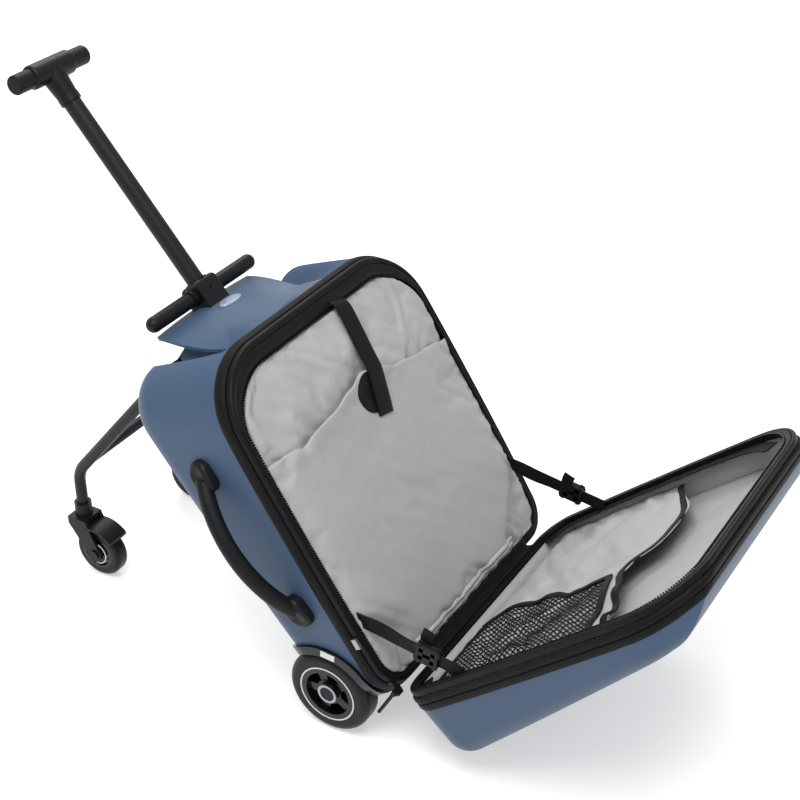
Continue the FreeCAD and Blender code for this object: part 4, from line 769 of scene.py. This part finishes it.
upper = divider_cloth(lambda y: mouth_at(y) - MOUTH_TUCK, lambda y: CLOTH_HIGH, 3.0, 34)
for v in upper.verts:
    v.co.x -= MOUTH_GAP * ease(mouth_at(v.co.y) + 26 - v.co.z, 0, 30)
upper_cloth = piece("divider_upper_cloth", upper, RIM, lining_cloth, "case", ["upper_panel"])
lower = divider_cloth(lambda y: CLOTH_LOW, mouth_at, 11.0, 76)
for v in lower.verts:
    v.co.x += MOUTH_GAP * ease(v.co.z, mouth_at(v.co.y) - 22, mouth_at(v.co.y))
pocket_cloth = piece("divider_pocket_cloth", lower, RIM, lining_cloth, "case", ["pocket_panel"])
settle(upper_cloth, sewn_edge(upper_cloth, RIM, lambda p: False), 0.045, 0.6, 6.0)
pocket_pins = sewn_edge(pocket_cloth, RIM, lambda p: p.z > mouth_at(p.y) - 2 and abs(p.y) < 150)
settle(pocket_cloth, pocket_pins, 0.05, 0.8, 7.0)
for v in pocket_cloth.data.vertices:
    v.co = RIM @ pressed(TO_RIM @ v.co)
cut_cloth(upper_cloth)
cut_cloth(pocket_cloth)


# %% [markdown]
# ## Strips that lie on cloth
# Straps, bindings and hems are all strips: a grid one strip wide that follows a path. A strip that floats
# or sinks gives a model away at once, so its path is laid on the settled cloth: a ray from in front of the
# cloth finds how far out it stands at each place. A soft tape follows that, smoothed a little. Webbing is
# stiffer and bridges the hollows, so its path keeps only the places that stand out furthest.

# %% Strip helpers
FAR = 300.0
RIM_FACE, LID_FACE = (1, 0, 0), (-1, 0, 0)


def surface(sheet, place):
    """A sheet's faces in the frame of a place, ready for rays."""
    local = place.inverted()
    corners = [local @ v.co for v in sheet.data.vertices]
    return BVHTree.FromPolygons(corners, [p.vertices[:] for p in sheet.data.polygons])


def lies_on(sheets, place, side):
    """A function that gives how far out sheets stand at a place on them, seen from one side."""
    trees = [surface(sheet, place) for sheet in sheets]

    def out_at(across, along):
        """How far out they stand here, or None where there is no sheet."""
        eye, way = Vector((side * FAR, across, along)), Vector((-side, 0, 0))
        hits = [tree.ray_cast(eye, way)[0] for tree in trees]
        found = [side * hit.x for hit in hits if hit]
        return side * max(found) if found else None
    return out_at


def through(points, count):
    """Points on a smooth curve through given ones."""
    knots = [Vector(p) for p in points]
    knots = [2 * knots[0] - knots[1]] + knots + [2 * knots[-1] - knots[-2]]
    walk = []
    for number in range(count + 1):
        share = number / count * (len(points) - 1)
        at = min(int(share), len(points) - 2)
        t = share - at
        a, b, c, d = knots[at:at + 4]
        bow, swing = 2 * a - 5 * b + 4 * c - d, 3 * b - a - 3 * c + d
        walk.append((2 * b + (c - a) * t + bow * t ** 2 + swing * t ** 3) / 2)
    return walk


def laid(flat_points, count, out_at, lift, spare):
    """A path over cloth: smooth, lifted off it, with a depth to use where there is no cloth below."""
    walk = through([(0, y, z) for y, z in flat_points], count)
    depths = [out_at(p.y, p.z) for p in walk]
    depths = [spare if depth is None else depth for depth in depths]
    for turn in range(3):
        ends = [depths[0]] + depths + [depths[-1]]
        depths = [(a + 2 * b + c) / 4 for a, b, c in zip(ends, ends[1:], ends[2:])]
    return [Vector((depth + lift, p.y, p.z)) for depth, p in zip(depths, walk)]


def hollow(before, row, after):
    """Whether a row of (place, depth) doesn't stand out of the line from one row to another."""
    return (row[1] - before[1]) * (after[0] - before[0]) <= (after[1] - before[1]) * (row[0] - before[0])


def taut(flat_points, count, out_at, width, lift):
    """A path for stiff webbing: it bridges hollows and rests only on what stands out under its width."""
    walk = through([(0, y, z) for y, z in flat_points], count)
    rows = []
    for number, p in enumerate(walk):
        found = [out_at(p.y + width * share, p.z) for share in (-0.5, -0.25, 0, 0.25, 0.5)]
        rows.append((number, max((f for f in found if f is not None), default=0.0)))
    held = []
    for row in rows:
        while len(held) > 1 and hollow(held[-2], held[-1], row):
            held.pop()
        held.append(row)
    path = []
    for number, p in enumerate(walk):
        before = max((row for row in held if row[0] <= number), key=lambda row: row[0])
        after = min((row for row in held if row[0] >= number), key=lambda row: row[0])
        share = (number - before[0]) / max(after[0] - before[0], 1)
        path.append(Vector((before[1] + share * (after[1] - before[1]) + lift, p.y, p.z)))
    return path


def strip(path, width, face, steps=4):
    """A flat strip along a path that faces one way, with its flat places."""
    bm = bmesh.new()
    last = len(path) - 1
    bmesh.ops.create_grid(bm, x_segments=last, y_segments=steps, size=1.0)
    runs = [0.0]
    for start, end in zip(path, path[1:]):
        runs.append(runs[-1] + (end - start).length)
    flat = {}
    for v in bm.verts:
        number, across = round((v.co.x + 1) / 2 * last), v.co.y * width / 2
        ahead = path[min(number + 1, last)] - path[max(number - 1, 0)]
        flat[v] = (across, runs[number])
        v.co = path[number] + ahead.cross(Vector(face)).normalized() * across
    lay_uv(bm, flat)
    return bm


# %% [markdown]
# ## Strap, patch and piping on the divider
# A flat webbing strap comes down from the zip and ends on a round patch. The patch starts as a circle whose
# face is inset ring by ring, so that it can bend with the cloth. The strap runs over it. Along the hinge
# two silver pipings are sewn in, each a cord in a folded strip of coated cloth.

# %% Strap and patch
PATCH_MIDDLE, PATCH_RADIUS = (3.6, 272.0), 23.0
PATCH_RINGS, PATCH_RING_WIDTH, PATCH_LIFT = 5, 3.6, 1.0
STRAP_LINE = [(36.5, 374), (33.5, 361), (22, 305), (14, 268), (8.7, 242)]
STRAP_LINE_WIDTH, STRAP_LIFT = 24.0, 1.9
on_divider = lies_on([upper_cloth, pocket_cloth], RIM, 1)
bm = bmesh.new()
bmesh.ops.create_circle(bm, cap_ends=True, cap_tris=False, segments=48, radius=PATCH_RADIUS)
core = bm.faces[:]
for ring in range(PATCH_RINGS):
    bmesh.ops.inset_individual(bm, faces=core, thickness=PATCH_RING_WIDTH)
flat = {}
for v in bm.verts:
    across, along = PATCH_MIDDLE[0] + v.co.x, PATCH_MIDDLE[1] + v.co.y
    flat[v] = (across, along)
    v.co = (on_divider(across, along) + PATCH_LIFT, across, along)
for turn in range(4):
    bmesh.ops.smooth_vert(bm, verts=bm.verts, factor=0.5, use_axis_x=True)
lay_uv(bm, flat)
patch = piece("strap_round_patch", bm, RIM, webbing, "case", ["strap_patch"])
thicken(patch, 1.2, 0.3)
on_patch = lies_on([upper_cloth, pocket_cloth, patch], RIM, 1)
strap_path = taut(STRAP_LINE, 48, on_patch, STRAP_LINE_WIDTH, STRAP_LIFT)
bm = strip(strap_path, STRAP_LINE_WIDTH, RIM_FACE)
strap = piece("divider_strap", bm, RIM, webbing, "case", ["pocket_strap"])
thicken(strap, 1.5, 0.35)
print("strap", [round(p.x, 1) for p in strap_path[::10]], "mm out of the rim")


# %% Piping
PIPING_SPAN, PIPING_WIDTH, PIPING_LIFT = range(-112, 106, 6), 4.6, 0.7
for name, along, stands_for in (("piping_low", 19.2, ["hem_piping"]), ("piping_high", 25.6, [])):
    line = [(y, along + 0.8 * math.sin(y / 30)) for y in PIPING_SPAN]
    path = laid(line, 90, on_divider, PIPING_LIFT, 0.0)
    bm = strip(path, PIPING_WIDTH, RIM_FACE)
    bead = piece(name, bm, RIM, piping_cloth, "case", stands_for)
    thicken(bead, 2.6, 1.1)
print("piping", [round(p.x, 1) for p in path[::20]], "mm out of the rim")

# %% [markdown]
# ## Cloth over the hinge
# The lid hangs on a strip of twill that is sewn to both tapes. It crosses the joint, so it can't ride on one
# half: it is drawn open, in the corner between the halves, and is carried by neither body.

# %% Hinge cloth
HINGE_HALF, HINGE_STEPS, HINGE_ROW = 120.0, 14, 1.6
bend = [Vector((0.8, 0, 13)), Vector((1.6, 0, 7)), Vector((2.8, 0, 3.4)), LID_TO_RIM @ Vector((-1.6, 0, 7))]
bend = through(bend + [LID_TO_RIM @ Vector((-0.8, 0, 13))], HINGE_STEPS)
bm = bmesh.new()
bmesh.ops.create_grid(bm, x_segments=HINGE_STEPS, y_segments=60, size=1.0)
flat = {}
for v in bm.verts:
    number, across = round((v.co.x + 1) / 2 * HINGE_STEPS), v.co.y * HINGE_HALF
    pucker = 0.5 * noise.noise((across / 9, number / 5, 4)) * math.sin(math.pi * number / HINGE_STEPS)
    flat[v] = (across, number * HINGE_ROW)
    v.co = bend[number] + Vector((pucker, across, pucker))
lay_uv(bm, flat)
hinge_strip = piece("hinge_strip", bm, RIM, band_cloth, None, ["hinge_cloth"])
cut_cloth(hinge_strip, 0.8)
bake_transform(hinge_strip)
print("hinge strip", len(hinge_strip.data.polygons), "faces")

# %% [markdown]
# ## Straps that hold the lid
# Two webbing straps stop the lid when it is open. They are taut, so each is a flat strip that stands on edge
# at the side of the opening, with a slight twist where it leaves the case. The straps are carried by neither
# body, and a loose tail, which goes with the lid, sticks out of each buckle.

# %% Lid straps
STRAP_ACROSS, STRAP_ALONG, STRAP_TUCK, STRAP_WIDTH = 166.2, 95.0, 4.2, 15.4
STRAP_TWIST, STRAP_RIPPLE, STRAP_BLEND = math.radians(15), 0.8, (0.25, 0.56)
TAIL_AT, TAIL_INSIDE, TAIL_WIDTH = 0.66, 2.2, 14.0
strap_start = Vector((-STRAP_TUCK, 0, STRAP_ALONG))
strap_end = LID_TO_RIM @ Vector((STRAP_TUCK, 0, STRAP_ALONG))
run = strap_end - strap_start
upward = run.cross(Vector((0, 1, 0))).normalized()
if upward.z < 0:
    upward = -upward
for side, name in ((-1, "left"), (1, "right")):
    bm = bmesh.new()
    bmesh.ops.create_grid(bm, x_segments=60, y_segments=6, size=1.0)
    flat = {}
    for v in bm.verts:
        share, across = (v.co.x + 1) / 2, v.co.y * STRAP_WIDTH / 2
        loose = ease(share, 0.02, 0.2) * ease(0.5 - share, 0, 0.25)
        turn = STRAP_TWIST * loose
        ripple = STRAP_RIPPLE * loose * math.sin(9 * share + side)
        flat[v] = (across, share * run.length)
        v.co = strap_start + run * share + upward * across * math.cos(turn)
        v.co.y = side * (STRAP_ACROSS - 0.6 * loose) + across * math.sin(turn) + ripple
    lay_uv(bm, flat)
    stands_for = ["lid_straps"] if side < 0 else []
    made = piece("lid_strap_" + name, bm, RIM, webbing, None, stands_for)
    thicken(made, 1.5, 0.3)
    low, high = (strap_start + run * share for share in STRAP_BLEND)
    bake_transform(made)
    inward = Vector((0, -side, 0))
    root = strap_start + run * TAIL_AT + Vector((0, side * (STRAP_ACROSS - TAIL_INSIDE), 0))
    onward = run.normalized()
    tail = [root, root - onward * 2 + inward * 2 + upward * 6, root - onward * 4 + inward * 3 + upward * 15]
    tail.append(root - onward * 2 + inward * 4 + upward * 26)
    bm = strip(through(tail, 24), TAIL_WIDTH, inward)
    made = piece("strap_tail_" + name, bm, RIM, webbing, "lid")
    thicken(made, 1.4, 0.3)
print("lid straps", round(run.length, 1), "mm long")

# %% [markdown]
# ## Buckles
# Each strap ends in a moulded ladder buckle: a flat block with rounded corners, a dish in both faces and a
# square hole where the strap is pushed through. A cube gives it, turned to lie along the strap: corners and
# rims are bevelled, and each face is inset and sunk twice, a little for the dish and further for the hole.

# %% Block helpers
def rounded_block(size, corner, steps):
    """A box whose edges across the case are rounded."""
    bm = bmesh.new()
    bmesh.ops.create_cube(bm, size=1.0, matrix=Matrix.Diagonal((*size, 1)))
    bevel(bm, [e for e in bm.edges if abs(e.verts[0].co.y - e.verts[1].co.y) > 1], corner, steps)
    return bm


def outermost(bm, side):
    """The face that lies furthest out across the case on one side."""
    return max(bm.faces, key=lambda f: side * f.calc_center_median().y)


def sink(bm, face, side, rim, depth):
    """Leaves a rim round a face of one side, and moves what is inside it in."""
    bmesh.ops.inset_individual(bm, faces=[face], thickness=rim)
    bmesh.ops.translate(bm, verts=face.verts, vec=(0, -depth * side, 0))


def join(whole, part):
    """Puts a mesh into another one, and frees it."""
    made = bpy.data.meshes.new("part")
    part.to_mesh(made)
    part.free()
    whole.from_mesh(made)
    bpy.data.meshes.remove(made)


# %% Lid buckles
BUCKLE_SIZE, BUCKLE_ACROSS = (27.0, 8.4, 23.0), 166.5
BUCKLE_CORNER, BUCKLE_RIM = 3.2, 1.4
DISH_RIM, DISH_DEPTH = 2.6, 0.7
HOLE_RIM, HOLE_WALL, HOLE_DEPTH = 5.2, 0.3, 2.4
low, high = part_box("lid_buckles")
buckle_middle = TO_RIM @ ((low + high) / 2)
along_strap = Matrix((run.normalized(), Vector((0, 1, 0)), upward)).transposed().to_4x4()
buckles = bmesh.new()
for side in (-1, 1):
    buckle = rounded_block(BUCKLE_SIZE, BUCKLE_CORNER, 4)
    for face_side in (-1, 1):
        bevel(buckle, outermost(buckle, face_side).edges[:], BUCKLE_RIM, 3)
        face = outermost(buckle, face_side)
        sink(buckle, face, face_side, DISH_RIM, DISH_DEPTH)
        bmesh.ops.inset_individual(buckle, faces=[face], thickness=HOLE_RIM)
        sink(buckle, face, face_side, HOLE_WALL, HOLE_DEPTH)
    place = Matrix.Translation((buckle_middle.x, side * BUCKLE_ACROSS, buckle_middle.z)) @ along_strap
    bmesh.ops.transform(buckle, matrix=place, verts=buckle.verts)
    bmesh.ops.recalc_face_normals(buckle, faces=buckle.faces)
    join(buckles, buckle)
piece("strap_buckles", buckles, RIM, nylon, "lid", ["lid_buckles"])
print("buckles at", [round(c, 1) for c in buckle_middle], "mm in the rim's frame")


# %% [markdown]
# ## Lining of the lid
# The lid is lined with loose polyester, glued at its rim. The lining is the closed case's outline again, a
# little further in, cut off at the rim. Planes slice it into small faces, and noise pushes them in and out
# into the soft creases that a lining has where it goes round corners.

# %% Lid lining
LINING_INSET, LINING_EDGE, LINING_STEP = 7.2, 9.6, 9.0
CUTS, DEEP_CUTS, CUT_START = 43, 8, -198.0


def slice_at(bm, place, normal, **clear):
    """Cuts a mesh with a plane, and may clear one side."""
    everything = bm.verts[:] + bm.edges[:] + bm.faces[:]
    bmesh.ops.bisect_plane(bm, geom=everything, plane_co=place, plane_no=normal, dist=0.01, **clear)


bm = closed_case(LINING_INSET)
bmesh.ops.transform(bm, matrix=CASE_TO_RIM, verts=bm.verts)
slice_at(bm, (LINING_EDGE, 0, 0), (1, 0, 0), clear_inner=True)
for step in range(1, CUTS + 1):
    slice_at(bm, (0, step * LINING_STEP + CUT_START, 0), (0, 1, 0))
    slice_at(bm, (0, 0, step * LINING_STEP), (0, 0, 1))
    if step <= DEEP_CUTS:
        slice_at(bm, (LINING_EDGE + step * LINING_STEP, 0, 0), (1, 0, 0))
for v in bm.verts:
    away = past_round(v.co, LINING_INSET)
    if away:
        near = ROUND_MIDDLE + away.normalized() * (ROUND_RADIUS - LINING_INSET)
        v.co.x, v.co.z = near.x, near.z
bmesh.ops.recalc_face_normals(bm, faces=bm.faces)
tub_floor = max(v.co.x for v in bm.verts)
middle = RIM_TOP / 2
bm.normal_update()
flat, pushed = {}, {}
for v in bm.verts:
    up = tub_floor - v.co.x
    across = v.co.y + math.copysign(up * abs(v.normal.y), v.co.y)
    flat[v] = (across, v.co.z + math.copysign(up * abs(v.normal.z), v.co.z - middle))
    crease = noise.noise((v.co.y / 34, v.co.z / 60, v.co.x / 40))
    crease += noise.noise(((v.co.y + v.co.z) / 19, v.co.x / 30, 5))
    pushed[v] = v.normal * (1.5 * crease - 0.8) * ease(v.co.x, LINING_EDGE, LINING_EDGE + 20)
for v, push in pushed.items():
    v.co += push
bmesh.ops.reverse_faces(bm, faces=bm.faces)
lay_uv(bm, flat)
lining = piece("lid_lining_cloth", bm, LID, lining_cloth, "lid", ["lid_lining"], 70)
thicken(lining, 0.8)

# %% [markdown]
# ## Back of the lid's pocket
# A pocket has a back as well as a front. In the lid the back is a flat sheet, sewn to the lining all round,
# that closes off the deep part of the lid. It could be cut with a boolean, but a circle whose face is inset
# ring by ring does better: every ray from its middle is stretched until it meets the lining, so the edge
# lies on it.

# %% Pocket back
BACK_DEPTH, BACK_SAG, BACK_RINGS = 36.0, 5.0, 26
BACK_ALONG, BACK_CLEAR = 195.0, 0.6
back_middle = Vector((BACK_DEPTH, 0, BACK_ALONG))
walls = surface(lining, LID)
bm = bmesh.new()
bmesh.ops.create_circle(bm, cap_ends=True, cap_tris=False, segments=144, radius=1.0)
core = bm.faces[:]
for ring in range(BACK_RINGS):
    bmesh.ops.inset_individual(bm, faces=core, thickness=0.97 / BACK_RINGS)
flat = {}
for v in bm.verts:
    share = min(v.co.length, 1.0)
    way = Vector((0, v.co.x, v.co.y)).normalized()
    wall = walls.ray_cast(back_middle, way)[3]
    place = way * share * (wall - BACK_CLEAR)
    crease = noise.noise((place.y / 46, place.z / 70, 2))
    crease += 0.6 * noise.noise(((place.y - place.z) / 24, place.z / 60, 8))
    flat[v] = (place.y, place.z)
    v.co = back_middle + place + Vector(((BACK_SAG + 1.6 * crease) * ease(1 - share, 0, 0.3), 0, 0))
lay_uv(bm, flat)
bmesh.ops.recalc_face_normals(bm, faces=bm.faces)
pocket_back = piece("lid_pocket_back", bm, LID, lining_cloth, "lid", (), 70)
thicken(pocket_back, 0.8)

# %% [markdown]
# ## Pocket in the lid
# A grey pocket covers the hinge half of the lid. It is one sheet, sewn along the hinge and both sides, and
# its mouth dips towards the middle. Like the divider it is a grid that is left to settle, with the mouth
# free.

# %% Lid pocket
PANEL_LOW, PANEL_DEPTH = 21.0, 18.5
PANEL_MOUTH = ((-172, 252), (-161, 254), (-95, 249), (-40, 226), (-9, 212), (5, 218), (31, 243),
               (97, 241), (172, 203))
MOUTH_HALF, MOUTH_SLACK = 172.0, 4.0
TUB_HALF, TUB_LOW, TUB_CORNER = 174.0, 7.0, 31.0


def tub_half(along):
    """Half the width of the lid inside its lining, with its rounded lower corners."""
    rest = TUB_CORNER - min(along - TUB_LOW, TUB_CORNER)
    return TUB_HALF - (TUB_CORNER - math.sqrt(max(TUB_CORNER ** 2 - rest ** 2, 0)))


def panel_mouth(across):
    """Distance from the hinge of the pocket's mouth."""
    return along_table(PANEL_MOUTH, across)


bm = bmesh.new()
bmesh.ops.create_grid(bm, x_segments=84, y_segments=52, size=1.0)
flat = {}
for v in bm.verts:
    share, up = v.co.x, (v.co.y + 1) / 2
    along = PANEL_LOW + up * (panel_mouth(share * MOUTH_HALF) - PANEL_LOW)
    across = share * tub_half(along)
    rest = ease(1 - abs(share), 0, 0.15) * ease(up, 0, 0.15)
    flat[v] = (across, along)
    slack = MOUTH_SLACK * ease(up, 0.5, 1) * ease(1 - abs(share), 0, 0.6)
    v.co = (PANEL_DEPTH + slack + rest * (0.8 * ruffle(across, along, 21.0) + 1.5), across, along)
lay_uv(bm, flat)
panel = piece("lid_pocket_cloth", bm, LID, lining_cloth, "lid", ["lid_pocket_panel"])
pins = sewn_edge(panel, LID, lambda p: p.z > panel_mouth(p.y) - 2 and abs(p.y) < 155)
settle(panel, pins, 0.035, -0.3, 4.5)
cut_cloth(panel)

# %% [markdown]
# ## Net pocket
# A black net lies on the near half of the pocket. A picture of a net would be flat; real holes show the
# grey behind them and cast small shadows. A slanted grid of cells is trimmed to the net's outline, every
# cell is inset, and what is left of the cell is taken out. A real net has a pitch of about 2 mm; this one
# has 4.2 by 9 mm, so that its strands show.

# %% Net
NET_EDGE = ((-40, 27), (-13, 48), (-9, 100), (-18, 137), (-15, 164), (-14, 197), (-50, 211), (-87, 221),
            (-128, 224), (-150, 209), (-169, 202), (-170, 120), (-170, 40), (-150, 27))
NET_PITCH, NET_CELLS, NET_YARN = (9.0, 4.2), (32, 68), 0.95
NET_SLANT, NET_MIDDLE = math.radians(128), (-90, 125, 0)
NET_LIFT, NET_POUCH = 1.6, 0.7
on_panel = lies_on([panel], LID, -1)


def within(outline, across, along):
    """Whether a place is inside an outline: a line from it crosses the outline an odd number of times."""
    crossings = 0
    for (y0, z0), (y1, z1) in zip(outline, outline[1:] + outline[:1]):
        if (z0 > along) != (z1 > along) and across < y0 + (along - z0) * (y1 - y0) / (z1 - z0):
            crossings += 1
    return crossings % 2 == 1


bm = bmesh.new()
bmesh.ops.create_grid(bm, x_segments=NET_CELLS[0], y_segments=NET_CELLS[1], size=1.0)
wide, tall = (cells / 2 * pitch for cells, pitch in zip(NET_CELLS, NET_PITCH))
slant = Matrix.Rotation(NET_SLANT, 4, "Z") @ Matrix.Diagonal((wide, tall, 1, 1))
bmesh.ops.transform(bm, matrix=Matrix.Translation(NET_MIDDLE) @ slant, verts=bm.verts)
outside = [f for f in bm.faces if not within(NET_EDGE, f.calc_center_median().x, f.calc_center_median().y)]
bmesh.ops.delete(bm, geom=outside, context="FACES")
cells = bm.faces[:]
bmesh.ops.inset_individual(bm, faces=cells, thickness=NET_YARN)
bmesh.ops.delete(bm, geom=cells, context="FACES_ONLY")
loose = [v for v in bm.verts if not v.link_faces]
bmesh.ops.delete(bm, geom=loose, context="VERTS")
flat = {}
for v in bm.verts:
    across, along = v.co.x, v.co.y
    flat[v] = (across, along)
    pouch = NET_POUCH * ease(along, 120, 215) * ease(-20 - across, 0, 50)
    v.co = ((on_panel(across, along) or PANEL_DEPTH) - NET_LIFT - pouch, across, along)
lay_uv(bm, flat)
net = piece("lid_net", bm, LID, net_yarn, "lid", ["lid_mesh_pocket"])
thicken(net, 0.7)

# %% [markdown]
# ## Bindings
# Raw edges are bound with a folded grosgrain tape. Each binding is a strip on the settled cloth, thick
# enough to wrap the edge that it covers, with rounded sides. Along both sides of the lid goes a wider
# gathered strip.

# %% Bindings
BINDING_WIDTH, BINDING_WALL = 8.0, 2.4


def binding(name, points, count, lift, stands_for=()):
    """A folded tape along an edge on the lid's pocket."""
    path = laid(points, count, on_panel, lift, PANEL_DEPTH)
    bm = strip(path, BINDING_WIDTH, LID_FACE)
    made = piece(name, bm, LID, binding_cloth, "lid", stands_for)
    thicken(made, BINDING_WALL, 0.8)


MOUTH_STOPS = (-170, -150, -125, -95, -65, -38, -20, -6, 4, 16, 30, 60, 97, 135, 169)
mouth_line = [(y, panel_mouth(y) - 3) for y in MOUTH_STOPS]
binding("pocket_mouth_tape", mouth_line, 120, -0.4, ["pocket_binding"])
binding("net_seam_tape", NET_EDGE[:6], 70, -1.6)
binding("net_mouth_tape", NET_EDGE[5:11], 70, -2.4)
binding("net_side_tape", NET_EDGE[10:], 60, -1.2)
binding("net_hinge_tape", (NET_EDGE[-1], (-95, 25), NET_EDGE[0]), 40, -1.2)
GUSSET = ((10, 140, 12), (8, 164, 34), (7, 170, 90), (7, 171, 170), (7, 169, 250), (8, 163, 310),
          (9, 146, 343))
GUSSET_WIDTH, GATHER = 18.0, 1.1
for side, name in ((-1, "left"), (1, "right")):
    path = through([(depth, side * across, along) for depth, across, along in GUSSET], 120)
    for number, p in enumerate(path):
        p.x += GATHER * noise.noise((number / 2.2, side, 9))
    bm = strip(path, GUSSET_WIDTH, LID_FACE, 6)
    elastic = piece("lid_elastic_" + name, bm, LID, band_cloth, "lid")
    thicken(elastic, 1.4, 0.4)

# %% [markdown]
# ## Rings on the wheels
# The rear wheels have a thin pale line round their centre and a bright washer at the axle, and the casters
# a pale line too. All are turned shapes: a small section with a rounded face, spun once round the axle and
# closed on itself. Each one is given by its radius, its width and how far it stands out of the hub.

# %% Wheel rings
WASHER, REAR_LINE, CASTER_LINE = (10.2, 3.0, 0.9), (33.5, 1.6, 0.5), (14.0, 1.4, 0.4)


def turned_ring(middle, radius, wide, proud, out):
    """A ring about the Y axis at a place, spun from a small rounded section."""
    bm = bmesh.new()
    section = [(-wide / 2, -proud), (-wide / 2, proud * 0.6), (-wide / 4, proud)]
    section += [(wide / 4, proud), (wide / 2, proud * 0.6), (wide / 2, -proud)]
    verts = [bm.verts.new((radius + r, out * y, 0)) for r, y in section]
    edges = [bm.edges.new(pair) for pair in zip(verts, verts[1:] + verts[:1])]
    bmesh.ops.spin(bm, geom=verts + edges, cent=(0, 0, 0), axis=(0, 1, 0), dvec=(0, 0, 0),
                   angle=math.tau, steps=72, use_merge=True)
    bmesh.ops.recalc_face_normals(bm, faces=bm.faces)
    bmesh.ops.translate(bm, vec=middle, verts=bm.verts)
    return bm


for side, name in ((-1, "left"), (1, "right")):
    low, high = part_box("rear_hub_" + name)
    face = (low.y if side < 0 else high.y) / MM
    middle = Vector((axle.x / MM, face, axle.z / MM))
    washer = turned_ring(middle, *WASHER, side)
    piece("rear_washer_" + name, washer, TO_METRES, zinc, "rear_wheel_" + name)
    ring = turned_ring(middle, *REAR_LINE, side)
    piece("rear_line_" + name, ring, TO_METRES, abs_white, "rear_wheel_" + name)
    low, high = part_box("caster_hub_" + name)
    hub = (low + high) / 2 / MM
    hub.y = (low.y if side < 0 else high.y) / MM
    ring = turned_ring(hub, *CASTER_LINE, side)
    piece("caster_line_" + name, ring, TO_METRES, abs_white, "caster_wheel_" + name)

# %% [markdown]
# ## Ends of the carry handle
# Each end of the handle sits in a moulded foot with a rounded outline, thick where the grip comes out and
# thin at its far end, with a shallow oval dish in its face. A cube gives it, like the buckles: four edges
# are rounded until they nearly meet, the face's rim is rounded too, the face is inset and sunk, and the far
# end is drawn in.

# %% Handle feet
FOOT_PLACES, FOOT_SIZE = ((271.0, 1), (99.0, -1)), (26.0, 22.0, 38.0)
FOOT_FORWARD, FOOT_ACROSS, FOOT_SIDE = 46.0, -185.2, -1
FOOT_CORNER, FOOT_RIM, FOOT_TAPER = 12.4, 5.0, 5.5
FOOT_DISH_RIM, FOOT_DISH_DEPTH = 2.2, 0.9
feet = bmesh.new()
for height, away in FOOT_PLACES:
    foot = rounded_block(FOOT_SIZE, FOOT_CORNER, 8)
    bevel(foot, outermost(foot, FOOT_SIDE).edges[:], FOOT_RIM, 4)
    sink(foot, outermost(foot, FOOT_SIDE), FOOT_SIDE, FOOT_DISH_RIM, FOOT_DISH_DEPTH)
    for v in foot.verts:
        if v.co.y < 0:
            v.co.y += FOOT_TAPER * ease(away * v.co.z, -4, 19)
    bmesh.ops.translate(foot, verts=foot.verts, vec=(FOOT_FORWARD, FOOT_ACROSS, height))
    join(feet, foot)
piece("carry_feet", feet, CASE, nylon, "case", ["carry_caps"])
print("handle feet at", [height for height, away in FOOT_PLACES], "mm up the case")
